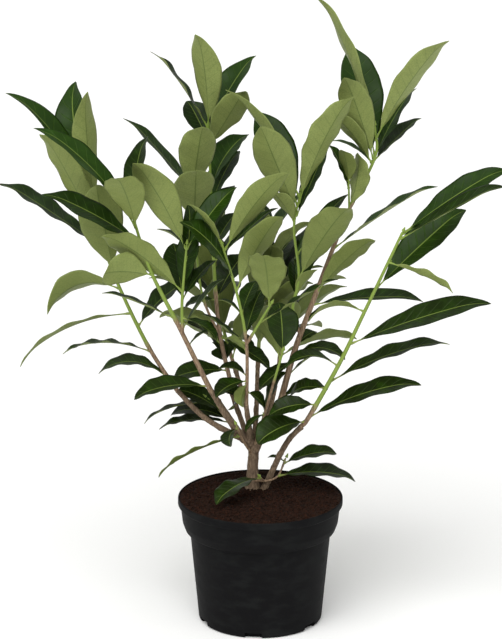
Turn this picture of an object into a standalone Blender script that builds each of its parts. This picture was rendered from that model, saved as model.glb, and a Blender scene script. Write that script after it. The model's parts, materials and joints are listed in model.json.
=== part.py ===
"""Potted cherry laurel: a nursery pot of peat, a forked trunk, its boughs and its masses of leaves.

The frame is in metres, +Z up. The origin is the middle of the pot's flat underside, and the
plant is seen from -Y. A direction is given as a fan, its slope from upright as the front shows
it (degrees, + to the right), and a tilt (degrees, + to the back).
"""
import math
import random
from collections import namedtuple

import bpy
from mathutils import Vector
from mathutils.bvhtree import BVHTree

MM = 0.001
GAP = 0.0003
SMOOTH_ANGLE = math.radians(35)

# Pot, a 5 litre nursery pot
POT_RIM_RADIUS = 0.1129
POT_COLLAR_RADIUS = 0.1093
POT_COLLAR_FOOT_RADIUS = 0.1067
POT_STEP_RADIUS = 0.0965
POT_BASE_RADIUS = 0.0850
POT_HEIGHT = 0.1760
POT_LIP_HEIGHT = 0.1640
POT_COLLAR_FOOT = 0.1410
POT_STEP = 0.1266
POT_CORNER = 0.0030
POT_WALL = 0.0020
POT_FLOOR = 0.0095
POT_SIDES = 40
POT_LIP_EDGE = 0.0010
POT_LIP_ROUND = 0.0020
POT_LIP_WALL = 0.0018
POT_LIP_FLARE = 0.0040
POT_STEP_RISE = 0.0035
POT_STEP_LEDGE = 0.0040
NOTCHES = 6
NOTCH_TURN = math.radians(-96.7)
NOTCH_WIDTH = 0.023
NOTCH_HEIGHT = 0.008
NOTCH_DEPTH = 0.008
NOTCH_OVERRUN = 0.010
NOTCH_UNDERCUT = 0.005
NOTCH_RING_OUT = 0.0006
NOTCH_RING_RISE = 0.0015

# Peat
SOIL_LEVEL = 0.1780
SOIL_EDGE = 0.1742
SOIL_FLAT_RADIUS = 0.0520
SOIL_SHOULDER_RADIUS = 0.0880
SOIL_SHOULDER_RISE = 0.0022
SOIL_EDGE_ROUND = 0.0030
SOIL_TAPER = 0.0002

# Limbs
TRUNK_SIDES = 12
LIMB_SIDES = 10
ROOT_FLARE = 0.42
ROOT_FLARE_HEIGHT = 0.009
CLEAR_LIMB = 0.0008

# Twigs and leaves: shares are of a leaf's length or width
LEAF_THICKNESS = 0.018
LEAF_FOLD = 0.30
PETIOLE = 0.09
PETIOLE_RADIUS = 0.0016
PETIOLE_SWELL = 1.25
LEAF_WIDEST = 1.15
LEAF_FULLNESS = 0.8
LEAF_STATIONS = (0.0, PETIOLE, 0.26, 0.47, 0.68, 0.87, 1.0)
LEAF_TAIL = 0.04
LEAF_TAIL_START = 0.80
LEAF_FLOOR = 2
STEM_SIDES = 5
STEM_PACE = 0.030
STEM_LEAD = 0.020
FRONT = Vector((0.0, -0.962, 0.272))

# Clearance between leaves of one mass and anything of another, and the swings tried (degrees)
CLEAR_WIDTH = 0.0012
CLEAR_THICKNESS = 0.0032
SWINGS = (0, 6, -6, 12, -12, 18, -18, 25, -25, 32, -32)
GOLDEN_TURN = math.radians(137.5)

# A limb grows from its foot, in mm, through runs of length, fan and tilt, in mm and degrees
Limb = namedtuple("Limb", "foot runs radius tip_radius")

LIMBS = {
    "trunk": Limb((-11, 28, 178.3), ((34, 1, -3), (26, 3, -4), (15, -32, -22)), 8.5, 6.4),
    "bough_left": Limb(None, ((17, -48, -24), (84, -29, -17)), 5.9, 3.8),
    "bough_far_left": Limb((-28, 12, 256), ((54, -60, 1), (54, -45, 4)), 3.9, 3.3),
    "bough_back": Limb((-14, 27, 243), ((62, -20, 5), (30, -12, 6)), 3.6, 3.2),
    "bough_front": Limb((-17, 18, 247), ((18, 5, -30), (46, -4, -15)), 3.3, 2.8),
    "bough_right": Limb((-9, 24, 234), ((76, 27, -9),), 6.4, 4.8),
    "stem_right": Limb((5.0, 21, 178.3), ((78, 22, -16), (40, 35, -15)), 4.3, 3.5),
    "bough_rear_left": Limb((-12, 27, 240), ((60, -10, 42), (62, -20, 40)), 3.7, 3.0),
    "bough_rear_middle": Limb((-10, 26, 232), ((64, 6, 46), (70, 2, 32)), 3.7, 3.0),
    "bough_rear_right": Limb((-9, 25, 236), ((68, 27, 42), (62, 14, 38)), 3.7, 3.0),
}

# Leaf: height of its foot (mm), fan, tilt (degrees), length, width (mm), how squarely its upper
# side faces the front (-1 shows the whole underside), and its arch as a share of its length
Leaf = namedtuple("Leaf", "height fan tilt length width face arch")

# Twig: the twig it leaves and at what height (mm), its runs, radii (mm) and its own leaves
Twig = namedtuple("Twig", "parent height runs radius tip_radius leaves")

MASSES = {
    "leaves_far_left": ("bough_far_left", [
        Twig(None, None, ((82, -32, 4), (117, -24, 5), (92, -14, 5)), 3.1, 1.7, (
            Leaf(338, -84, 0, 96, 38, 0.40, 0.21),
            Leaf(375, -89, 0, 121, 30, 0.10, 0.10),
            Leaf(410, 51, 20, 98, 44, 0.55, 0.08),
            Leaf(428, -114, 0, 170, 32, -0.12, 0.10),
            Leaf(461, -106, -5, 104, 52, -0.50, 0.26),
            Leaf(484, -7, -26, 158, 62, -0.95, 0.00),
            Leaf(519, -24, -16, 194, 44, -0.75, 0.02),
            Leaf(515, -57, 8, 170, 52, 0.35, 0.01),
            Leaf(556, -3, -20, 204, 38, -0.85, 0.04),
            Leaf(568, -12, 28, 186, 56, 0.85, 0.08),
            Leaf(576, -36, 16, 190, 46, 0.50, 0.08),
            Leaf(530, 20, 55, 120, 42, 0.60, 0.08),
        )),
    ]),
    "leaves_left": ("bough_left", [
        Twig(None, None, ((109, -23, -15), (93, -24, -11), (75, -16, -9)), 3.7, 1.8, (
            Leaf(337, -97, -4, 102, 44, 0.45, 0.09),
            Leaf(400, 50, -10, 36, 14, 0.30, 0.08),
            Leaf(441, -68, 0, 102, 24, 0.10, 0.02),
            Leaf(504, -76, -38, 82, 54, -0.80, 0.07),
            Leaf(548, -59, -6, 146, 45, 0.65, 0.04),
            Leaf(567, -42, -2, 190, 42, 0.50, 0.08),
            Leaf(569, -12, -46, 140, 51, -0.95, 0.06),
            Leaf(576, 6, 30, 122, 46, 0.60, 0.06),
        )),
        Twig(0, 418, ((49, 0, -9), (76, 5, -9)), 2.3, 1.5, (
            Leaf(425, 37, 0, 88, 26, 0.20, 0.03),
            Leaf(435, 130, 20, 59, 22, 0.50, 0.10),
            Leaf(441, 120, -10, 55, 28, 0.35, 0.10),
            Leaf(467, 43, 26, 72, 24, 0.60, 0.06),
            Leaf(465, -10, 34, 84, 42, 0.95, 0.05),
            Leaf(478, 11, 12, 92, 34, 0.85, 0.05),
            Leaf(478, -47, -28, 150, 42, -0.80, 0.07),
            Leaf(521, 4, 30, 75, 34, 0.80, 0.06),
            Leaf(538, -25, -24, 164, 50, -0.92, 0.06),
            Leaf(538, 39, 30, 106, 38, 0.80, 0.06),
        )),
    ]),
    "leaves_back": ("bough_back", [
        Twig(None, None, ((66, -12, 6), (91, -5, 6), (192, -2, 1.5)), 3.2, 1.6, (
            Leaf(344, -97, -4, 76, 44, 0.55, 0.08),
            Leaf(355, -31, 30, 44, 26, 0.60, 0.08),
            Leaf(355, -1, 42, 40, 38, 0.90, 0.06),
            Leaf(379, -54, 5, 70, 32, -0.50, 0.04),
            Leaf(387, -68, 22, 44, 24, 0.50, 0.10),
            Leaf(390, 116, -24, 82, 32, 0.60, 0.04),
            Leaf(441, 36, 32, 80, 44, 0.70, 0.06),
            Leaf(441, -104, 2, 45, 24, 0.40, 0.12),
            Leaf(493, 48, 5, 114, 24, 0.45, 0.02),
            Leaf(508, 34, 30, 66, 36, 0.65, 0.06),
            Leaf(530, 24, 30, 78, 38, 0.70, 0.08),
            Leaf(560, -42, 12, 176, 36, 0.32, 0.01),
            Leaf(572, 29, 30, 88, 50, 0.60, 0.05),
            Leaf(593, 34, 20, 92, 52, 0.55, 0.10),
            Leaf(653, 29, -30, 118, 46, -0.80, 0.00),
            Leaf(656, -29, 30, 70, 40, 0.90, 0.03),
            Leaf(675, 33, 26, 124, 46, 0.70, 0.04),
            Leaf(676, -34, 0, 130, 30, 0.20, 0.03),
            Leaf(679, -5, -20, 148, 46, -0.82, 0.04),
        )),
        Twig(0, 392, ((72, -21, -8), (135, -5, -6)), 1.9, 1.3, (
            Leaf(556, 3, -40, 120, 55, -0.95, 0.00),
            Leaf(590, 9, -24, 122, 50, -0.95, 0.05),
        )),
    ]),
    "leaves_front": ("bough_front", [
        Twig(None, None, ((98, 0, -18), (82, -9, -18), (75, -15, -15)), 2.7, 1.5, (
            Leaf(312, -71, 14, 42, 32, 0.50, 0.12),
            Leaf(320, -143, 12, 43, 30, 0.40, 0.10),
            Leaf(328, 137, 10, 36, 30, 0.45, 0.12),
            Leaf(342, -167, -30, 34, 28, -0.55, 0.12),
            Leaf(345, -111, -22, 49, 38, 0.50, 0.12),
            Leaf(353, -78, 14, 40, 28, 0.30, 0.14),
            Leaf(391, -53, -10, 36, 18, -0.60, 0.12),
            Leaf(402, -54, 0, 72, 22, 0.20, 0.00),
            Leaf(414, 21, 30, 70, 36, 0.80, 0.05),
            Leaf(448, 27, 42, 57, 28, 0.80, 0.05),
            Leaf(447, -55, 2, 37, 18, 0.25, 0.10),
            Leaf(482, 26, -24, 146, 44, -0.80, 0.06),
            Leaf(496, -36, 14, 118, 48, 0.50, 0.10),
            Leaf(541, 33, -22, 158, 43, -0.80, 0.06),
            Leaf(550, -33, -5, 82, 20, -0.40, 0.05),
        )),
        Twig(0, 402, ((80, 26, -27),), 2.1, 1.4, (
            Leaf(438, 58, 0, 119, 24, 0.15, 0.00),
            Leaf(464, -5, -40, 122, 51, -0.97, 0.06),
        )),
    ]),
    "leaves_right": ("bough_right", [
        Twig(None, None, ((83, 15, -1), (77, 20, 4), (116, 21, 7.5), (89, 26, 6.5), (38, 0, 4)),
             4.6, 1.7, (
            Leaf(313, 82, 15, 66, 34, 0.45, 0.12),
            Leaf(344, 55, 0, 76, 22, 0.10, 0.06),
            Leaf(367, -130, -26, 60, 34, 0.50, 0.01),
            Leaf(373, 88, -14, 72, 34, 0.35, 0.18),
            Leaf(388, 65, 40, 39, 26, 0.60, 0.08),
            Leaf(443, 88, 5, 152, 38, 0.40, 0.04),
            Leaf(458, 40, -25, 132, 36, -0.75, 0.07),
            Leaf(518, 56, 0, 164, 36, 0.12, 0.02),
            Leaf(572, 8, -15, 86, 36, -0.75, 0.06),
            Leaf(632, -38, -18, 106, 36, -0.50, 0.07),
            Leaf(633, -61, 10, 63, 16, 0.40, 0.10),
            Leaf(635, 50, 24, 92, 40, 0.40, 0.01),
            Leaf(639, 31, 20, 112, 42, 0.55, 0.04),
            Leaf(637, -18, -25, 148, 42, -0.97, 0.05),
            Leaf(642, -13, 26, 162, 58, 0.95, 0.02),
            Leaf(663, 32, -14, 178, 47, -0.60, 0.05),
            Leaf(679, -23, 5, 198, 38, -0.35, 0.03),
        )),
        Twig(0, 571, ((42, -2, -10),), 1.6, 1.2, (
            Leaf(600, -24, 0, 68, 24, 0.60, 0.06),
            Leaf(607, -11, -12, 66, 28, -0.70, 0.06),
            Leaf(611, 9, 4, 36, 14, 0.50, 0.06),
        )),
        Twig(0, 402, ((41, -15, -14), (51, 9, -9), (66, -6, -2), (45, 10, 2)), 2.4, 1.5, (
            Leaf(456, 34, -5, 52, 28, -0.50, 0.06),
            Leaf(458, -2, 26, 54, 34, 0.80, 0.06),
            Leaf(468, 26, 34, 100, 38, 0.85, 0.05),
            Leaf(484, 28, -30, 158, 52, -0.90, 0.06),
            Leaf(518, 43, 26, 114, 24, 0.75, 0.04),
            Leaf(561, -32, -20, 62, 30, -0.60, 0.07),
            Leaf(571, 25, 16, 102, 34, 0.60, 0.00),
            Leaf(578, -21, -27, 160, 51, -0.97, 0.00),
            Leaf(584, -25, 27, 146, 54, 0.90, 0.04),
            Leaf(588, 24, -15, 180, 50, -0.70, 0.06),
            Leaf(596, -31, 8, 178, 34, -0.35, 0.05),
        )),
    ]),
    "leaves_far_right": ("stem_right", [
        Twig(None, None, ((18, 35, -15), (91, 26, -13), (82, 23, -10.5), (127, 22.5, -11)),
             3.4, 1.8, (
            Leaf(287, -107, -24, 74, 50, 0.60, 0.10),
            Leaf(293, 68, -10, 162, 42, 0.50, 0.06),
            Leaf(313, -101, -6, 65, 32, 0.75, 0.14),
            Leaf(338, -112, 20, 60, 30, 0.55, 0.14),
            Leaf(348, 73, 12, 172, 38, 0.45, 0.05),
            Leaf(372, -90, -5, 72, 36, 0.30, 0.22),
            Leaf(404, 69, -8, 198, 46, 0.62, 0.03),
            Leaf(452, -96, -8, 76, 38, -0.12, 0.18),
            Leaf(485, 51, 24, 168, 56, 0.70, 0.01),
            Leaf(524, 111, -14, 94, 26, -0.25, 0.03),
            Leaf(556, 56, -18, 162, 46, 0.30, 0.01),
            Leaf(563, 59, 10, 158, 42, 0.65, 0.00),
            Leaf(563, 58, 10, 164, 42, 0.65, 0.03),
        )),
    ]),
    "leaves_low_middle": ("trunk", [
        Twig(None, (-7, 19, 243), ((60, 14, -20), (46, 14, -16), (51, 14, -17)), 2.3, 1.5, (
            Leaf(287, 23, 4, 71, 26, 0.35, 0.05),
            Leaf(294, -128, -10, 36, 16, 0.50, 0.10),
            Leaf(378, -29, 10, 74, 30, -0.70, 0.08),
            Leaf(388, -3, 38, 70, 46, 0.95, 0.06),
        )),
    ]),
    "leaves_low_left": ("trunk", [
        Twig(None, (-13, 29, 236), ((36, -38, 11), (27, -42, 4), (25, -45, 0)), 2.3, 1.5, (
            Leaf(269, -93, 0, 100, 30, 0.35, 0.08),
            Leaf(267, -25, -12, 43, 22, 0.12, 0.04),
            Leaf(272, -86, 5, 83, 42, 0.55, 0.15),
            Leaf(283, -59, -5, 70, 36, 0.60, 0.08),
            Leaf(297, -107, 5, 100, 22, 0.15, 0.09),
        )),
    ]),
    "leaves_low_front": ("trunk", [
        Twig(None, (-11, 23, 228), ((38, -26, -32), (24, -18, -24)), 2.1, 1.4, (
            Leaf(262, -114, -6, 125, 26, -0.12, 0.06),
            Leaf(275, -155, -36, 28, 36, 0.45, 0.25),
        )),
    ]),
    "leaves_foot": ("trunk", [
        Twig(None, (-7, 21, 190), ((9, 60, -50), (14, 80, -27), (16, 70, 20), (22, 24, 10)),
             1.7, 1.2, (
            Leaf(200, 94, 5, 108, 42, 0.45, 0.08),
            Leaf(217, 79, 5, 74, 36, 0.45, 0.08),
            Leaf(222, -80, 15, 24, 12, 0.30, 0.10),
        )),
        Twig(0, 194, ((9, -30, -40),), 1.3, 1.1, (
            Leaf(200, -99, -50, 94, 38, 0.40, 0.08),
        )),
    ]),
}

# Rear masses: the bough, the stem's runs, and the number, length and width of their leaves
Rear = namedtuple("Rear", "bough runs radius tip_radius count length width turn")

REAR_MASSES = {
    "leaves_rear_left": Rear("bough_rear_left", ((60, -18, 28), (74, -12, 16)), 2.9, 1.5,
                             14, 122, 42, 140),
    "leaves_rear_middle": Rear("bough_rear_middle", ((60, 4, 22), (84, 4, 12)), 2.9, 1.5,
                               16, 122, 42, 300),
    "leaves_rear_right": Rear("bough_rear_right", ((60, 6, 30), (60, 2, 22)), 2.9, 1.5,
                              19, 118, 42, 40),
}
REAR_START = 1.6
REAR_SPREAD = (72, 26)
REAR_SWINGS = (0, 14, -14, 28, -28, 42, -42)
REAR_LENGTHS = (0.86, 1.10)
REAR_ARCH = 0.09
REAR_SEED = 7


def clear_scene():
    for item in list(bpy.data.objects):
        bpy.data.objects.remove(item, do_unlink=True)


def material(name, colour, roughness, metallic=0.0):
    made = bpy.data.materials.new(name)
    made.use_nodes = True
    shader = made.node_tree.nodes["Principled BSDF"]
    shader.inputs["Base Color"].default_value = (*colour, 1.0)
    shader.inputs["Roughness"].default_value = roughness
    shader.inputs["Metallic"].default_value = metallic
    return made


def pot_plastic():
    return material("matt_black_polypropylene", (0.012, 0.012, 0.013), 0.55)


def peat():
    return material("damp_peat", (0.035, 0.014, 0.009), 0.95)


def bark():
    return material("young_laurel_bark", (0.16, 0.10, 0.06), 0.85)


def leaf_skin():
    return material("glossy_laurel_leaf", (0.05, 0.13, 0.02), 0.35)


def new_object(name, vertices, faces, finish):
    mesh = bpy.data.meshes.new(name)
    mesh.from_pydata([tuple(v) for v in vertices], [], faces)
    mesh.materials.append(finish)
    mesh.shade_smooth()
    mesh.set_sharp_from_angle(angle=SMOOTH_ANGLE)
    item = bpy.data.objects.new(name, mesh)
    bpy.context.scene.collection.objects.link(item)
    return item


def heading(fan, tilt):
    """Unit direction of a limb or leaf from its two slopes in degrees."""
    fan, tilt = math.radians(fan), math.radians(tilt)
    return Vector((math.sin(fan) * math.cos(tilt), math.sin(tilt), math.cos(fan) * math.cos(tilt)))


def turned(name, profile, finish, sides=POT_SIDES):
    """Closed solid turned round Z from a profile that starts and ends on the axis, bottom up."""
    ring = [(math.cos(2 * math.pi * i / sides), math.sin(2 * math.pi * i / sides))
            for i in range(sides)]
    inner = profile[1:-1]
    vertices = [Vector((0, 0, profile[0][1]))]
    vertices += [Vector((r * c, r * s, z)) for r, z in inner for c, s in ring]
    vertices.append(Vector((0, 0, profile[-1][1])))
    last = len(vertices) - 1
    faces = []
    for i in range(sides):
        j = (i + 1) % sides
        faces.append((0, 1 + j, 1 + i))
        for k in range(len(inner) - 1):
            low, high = 1 + k * sides, 1 + (k + 1) * sides
            faces.append((low + i, low + j, high + j, high + i))
        top = 1 + (len(inner) - 1) * sides
        faces.append((top + i, top + j, last))
    return new_object(name, vertices, faces, finish)


def boolean(item, operation, other=None, collection=None):
    """Apply one Boolean to an object and keep its largest piece."""
    tool = item.modifiers.new("join", "BOOLEAN")
    tool.operation = operation
    tool.solver = "EXACT"
    if collection:
        tool.operand_type = "COLLECTION"
        tool.collection = collection
    else:
        tool.object = other
    depsgraph = bpy.context.evaluated_depsgraph_get()
    mesh = bpy.data.meshes.new_from_object(item.evaluated_get(depsgraph))
    item.modifiers.clear()
    old = item.data
    item.data = mesh
    mesh.name = old.name
    bpy.data.meshes.remove(old)
    keep_largest_piece(item)


def keep_largest_piece(item):
    """Drop loose scraps and sealed hollows that a Boolean leaves."""
    mesh = item.data
    parent = list(range(len(mesh.vertices)))

    def root(i):
        while parent[i] != i:
            parent[i] = parent[parent[i]]
            i = parent[i]
        return i

    for a, b in mesh.edge_keys:
        parent[root(a)] = root(b)
    groups = {}
    for face in mesh.polygons:
        groups.setdefault(root(face.vertices[0]), []).append(tuple(face.vertices))
    if len(groups) < 2:
        return
    faces = max(groups.values(), key=len)
    used = sorted({i for face in faces for i in face})
    place = {old: new for new, old in enumerate(used)}
    finish = mesh.materials[0]
    kept = bpy.data.meshes.new(mesh.name)
    kept.from_pydata([mesh.vertices[i].co[:] for i in used], [],
                     [tuple(place[i] for i in face) for face in faces])
    kept.materials.append(finish)
    kept.shade_smooth()
    kept.set_sharp_from_angle(angle=SMOOTH_ANGLE)
    item.data = kept
    bpy.data.meshes.remove(mesh)


def pot():
    """Turned pot with its rolled lip, deep collar and step, and drainage notches at the foot."""
    outer = [(POT_BASE_RADIUS - POT_CORNER, 0.0), (POT_BASE_RADIUS, POT_CORNER),
             (POT_BASE_RADIUS + NOTCH_RING_OUT, NOTCH_HEIGHT + NOTCH_RING_RISE),
             (POT_STEP_RADIUS, POT_STEP),
             (POT_COLLAR_FOOT_RADIUS - POT_STEP_LEDGE, POT_STEP + POT_STEP_RISE),
             (POT_COLLAR_FOOT_RADIUS, POT_COLLAR_FOOT), (POT_COLLAR_RADIUS, POT_LIP_HEIGHT),
             (POT_RIM_RADIUS, POT_LIP_HEIGHT + POT_LIP_ROUND),
             (POT_RIM_RADIUS, POT_HEIGHT - POT_LIP_EDGE),
             (POT_RIM_RADIUS - POT_LIP_EDGE, POT_HEIGHT)]
    inner = [(POT_RIM_RADIUS - POT_LIP_WALL, POT_HEIGHT),
             (POT_RIM_RADIUS - POT_LIP_WALL, POT_LIP_HEIGHT + POT_LIP_FLARE),
             (POT_COLLAR_RADIUS - POT_WALL, POT_LIP_HEIGHT),
             (POT_COLLAR_FOOT_RADIUS - POT_WALL, POT_COLLAR_FOOT),
             (POT_STEP_RADIUS - POT_WALL, POT_STEP + POT_STEP_LEDGE),
             (POT_BASE_RADIUS - POT_WALL, POT_FLOOR + POT_CORNER),
             (POT_BASE_RADIUS - POT_CORNER - POT_WALL, POT_FLOOR)]
    profile = [(0.0, 0.0)] + outer + inner + [(0.0, POT_FLOOR)]
    item = turned("pot", profile, pot_plastic())
    for i in range(NOTCHES):
        angle = NOTCH_TURN + 2 * math.pi * i / NOTCHES
        cutter = notch_cutter(angle)
        boolean(item, "DIFFERENCE", cutter)
        bpy.data.objects.remove(cutter, do_unlink=True)
    return item


def notch_cutter(angle):
    """Block across the pot's bottom corner."""
    out = Vector((math.cos(angle), math.sin(angle), 0))
    side = Vector((-out.y, out.x, 0))
    near, far = POT_BASE_RADIUS - NOTCH_DEPTH, POT_BASE_RADIUS + NOTCH_OVERRUN
    vertices = [out * r + side * (s * NOTCH_WIDTH / 2) + Vector((0, 0, z))
                for z in (-NOTCH_UNDERCUT, NOTCH_HEIGHT) for s in (-1, 1) for r in (near, far)]
    faces = [(0, 2, 3, 1), (4, 5, 7, 6), (0, 1, 5, 4), (2, 6, 7, 3), (0, 4, 6, 2), (1, 3, 7, 5)]
    cutter = new_object("notch_cutter", vertices, faces, pot_plastic())
    cutter.hide_render = True
    cutter.display_type = "WIRE"
    return cutter


def soil():
    """Peat that fills the pot to just under its rim, with a flat crown round the stems."""
    slack = POT_WALL + GAP
    snug = slack + SOIL_TAPER
    lip = POT_RIM_RADIUS - POT_LIP_WALL - GAP
    floor = POT_FLOOR + GAP
    profile = [(0.0, floor), (POT_BASE_RADIUS - POT_CORNER - slack - SOIL_TAPER, floor),
               (POT_BASE_RADIUS - slack, POT_CORNER + floor),
               (POT_STEP_RADIUS - snug, POT_STEP + POT_STEP_LEDGE),
               (POT_COLLAR_FOOT_RADIUS - snug, POT_COLLAR_FOOT),
               (POT_COLLAR_RADIUS - snug - SOIL_TAPER, POT_LIP_HEIGHT),
               (lip - SOIL_TAPER, POT_LIP_HEIGHT + POT_LIP_FLARE + GAP),
               (lip - SOIL_TAPER, SOIL_EDGE - SOIL_EDGE_ROUND / 2),
               (lip - SOIL_EDGE_ROUND, SOIL_EDGE),
               (SOIL_SHOULDER_RADIUS, SOIL_EDGE + SOIL_SHOULDER_RISE),
               (SOIL_FLAT_RADIUS, SOIL_LEVEL), (0.0, SOIL_LEVEL)]
    return turned("soil", profile, peat())


class Stem:
    """Smooth tapering centre line of a limb or twig, through the ends of its runs."""

    def __init__(self, foot, runs, radius, tip_radius, lead=None):
        self.lead = lead
        corners = [Vector(foot)]
        for length, fan, tilt in runs:
            corners.append(corners[-1] + heading(fan, tilt) * (length * MM))
        before = corners[0] - (lead or (corners[1] - corners[0]).normalized()) * STEM_LEAD
        after = corners[-1] * 2 - corners[-2]
        guides = [before] + corners + [after]
        self.points = [corners[0]]
        for k in range(1, len(guides) - 2):
            a, b, c, d = guides[k - 1:k + 3]
            steps = max(1, round((c - b).length / STEM_PACE))
            for i in range(1, steps + 1):
                self.points.append(through(a, b, c, d, i / steps))
        reach = [0.0]
        for p, q in zip(self.points, self.points[1:]):
            reach.append(reach[-1] + (q - p).length)
        self.radii = [(radius + (tip_radius - radius) * r / reach[-1]) * MM for r in reach]

    def tangent(self, i):
        if i == 0 and self.lead:
            return self.lead
        low, high = max(i - 1, 0), min(i + 1, len(self.points) - 1)
        return (self.points[high] - self.points[low]).normalized()

    def at_height(self, height):
        """Point and direction where the stem crosses a height, or at its tip."""
        z = height * MM
        for i, (p, q) in enumerate(zip(self.points, self.points[1:])):
            if p.z <= z <= q.z:
                t = (z - p.z) / (q.z - p.z)
                return p.lerp(q, t), self.tangent(i).lerp(self.tangent(i + 1), t).normalized()
        end = len(self.points) - 1 if z > self.points[-1].z else 0
        return self.points[end].copy(), self.tangent(end)

    def at_share(self, share):
        spot = share * (len(self.points) - 1)
        i = min(int(spot), len(self.points) - 2)
        t = spot - i
        point = self.points[i].lerp(self.points[i + 1], t)
        return point, self.tangent(i).lerp(self.tangent(i + 1), t).normalized()


def through(a, b, c, d, t):
    """Catmull-Rom point between b and c."""
    return 0.5 * (2 * b + (c - a) * t + (2 * a - 5 * b + 4 * c - d) * t ** 2
                  + (3 * b - a - 3 * c + d) * t ** 3)


def tube(stem, sides, swell=0.0, flare=0.0, overrun=0.0):
    """Vertices and faces of a stem's closed skin; a flare widens its foot, which stays level."""
    points = list(stem.points)
    points[0] = points[0] - stem.tangent(0) * overrun
    points[-1] = points[-1] + stem.tangent(len(points) - 1) * overrun
    radii = [r + swell for r in stem.radii]
    vertices, faces = [], []
    across = Vector((0, 1, 0))
    for i, (point, radius) in enumerate(zip(points, radii)):
        along = stem.tangent(i)
        if flare and i == 0:
            along = Vector((0, 0, 1))
        across = (across - across.dot(along) * along).normalized()
        other = along.cross(across)
        if flare:
            height = point.z - points[0].z
            radius *= 1 + flare * math.exp(-height / ROOT_FLARE_HEIGHT)
        for k in range(sides):
            angle = 2 * math.pi * k / sides
            vertices.append(point + (across * math.cos(angle) + other * math.sin(angle)) * radius)
    rings = len(points)
    for i in range(rings - 1):
        for k in range(sides):
            j = (k + 1) % sides
            low, high = i * sides, (i + 1) * sides
            faces.append((low + k, low + j, high + j, high + k))
    faces.append(tuple(reversed(range(sides))))
    faces.append(tuple(range((rings - 1) * sides, rings * sides)))
    return vertices, faces


def limb_sides(name):
    return TRUNK_SIDES if name == "trunk" else LIMB_SIDES


def leaf_width(share):
    """Half width of a blade along its length, from petiole to drawn-out tip."""
    u = (share - PETIOLE) / (1 - PETIOLE)
    return math.sin(math.pi * u ** LEAF_WIDEST) ** LEAF_FULLNESS if 0 < u < 1 else 0.0


def leaf_tail(share):
    """How far the drawn-out tip bends down, from 0 where it starts to 1 at its end."""
    return (max(0.0, share - LEAF_TAIL_START) / (1 - LEAF_TAIL_START)) ** 2


def leaf_solid(foot, axis, upper, length, width, arch, extra=0.0, thick=0.0, start=0):
    """Folded, arching blade with a petiole, as vertices and faces."""
    side = axis.cross(upper)
    vertices, faces = [], []
    stations = LEAF_STATIONS[start:]
    for share in stations:
        lift = 4 * arch * share * (1 - share) - LEAF_TAIL * leaf_tail(share)
        middle = foot + axis * (length * share) + upper * (length * lift)
        if share == 1.0:
            vertices.append(middle)
            continue
        petiole = PETIOLE_RADIUS * (1.0 if share < PETIOLE else PETIOLE_SWELL)
        half = max(leaf_width(share) * width / 2, petiole) + extra
        deep = (LEAF_THICKNESS * length / 2 if share > PETIOLE else PETIOLE_RADIUS) + thick
        edge = upper * (LEAF_FOLD * max(0.0, half - petiole - extra))
        vertices += [middle - side * half + edge, middle + upper * deep,
                     middle + side * half + edge, middle - upper * deep]
    rings = len(stations) - 1
    for i in range(rings - 1):
        for k in range(4):
            j = (k + 1) % 4
            faces.append((4 * i + k, 4 * i + 4 + k, 4 * i + 4 + j, 4 * i + j))
    last = 4 * (rings - 1)
    faces += [(last + k, 4 * rings, last + (k + 1) % 4) for k in range(4)]
    faces.append((0, 1, 2, 3))
    return vertices, faces


def upper_side(axis, along, face):
    """Normal of a leaf's upper side, which looks to the tip of its stem."""
    front = (FRONT - FRONT.dot(axis) * axis).normalized()
    side = axis.cross(front)
    if side.dot(along) < 0:
        side = -side
    return (front * face + side * math.sqrt(1 - face * face)).normalized()


def natural_upper_side(axis, along):
    return (along - along.dot(axis) * axis).normalized()


class Solid:
    """Shape kept for clearance tests."""

    def __init__(self, vertices, faces):
        self.tree = BVHTree.FromPolygons([tuple(v) for v in vertices], faces)
        self.low = [min(v[k] for v in vertices) for k in range(3)]
        self.high = [max(v[k] for v in vertices) for k in range(3)]

    def meets(self, other):
        apart = any(self.low[k] > other.high[k] or other.low[k] > self.high[k] for k in range(3))
        return not apart and bool(self.tree.overlap(other.tree))


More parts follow.
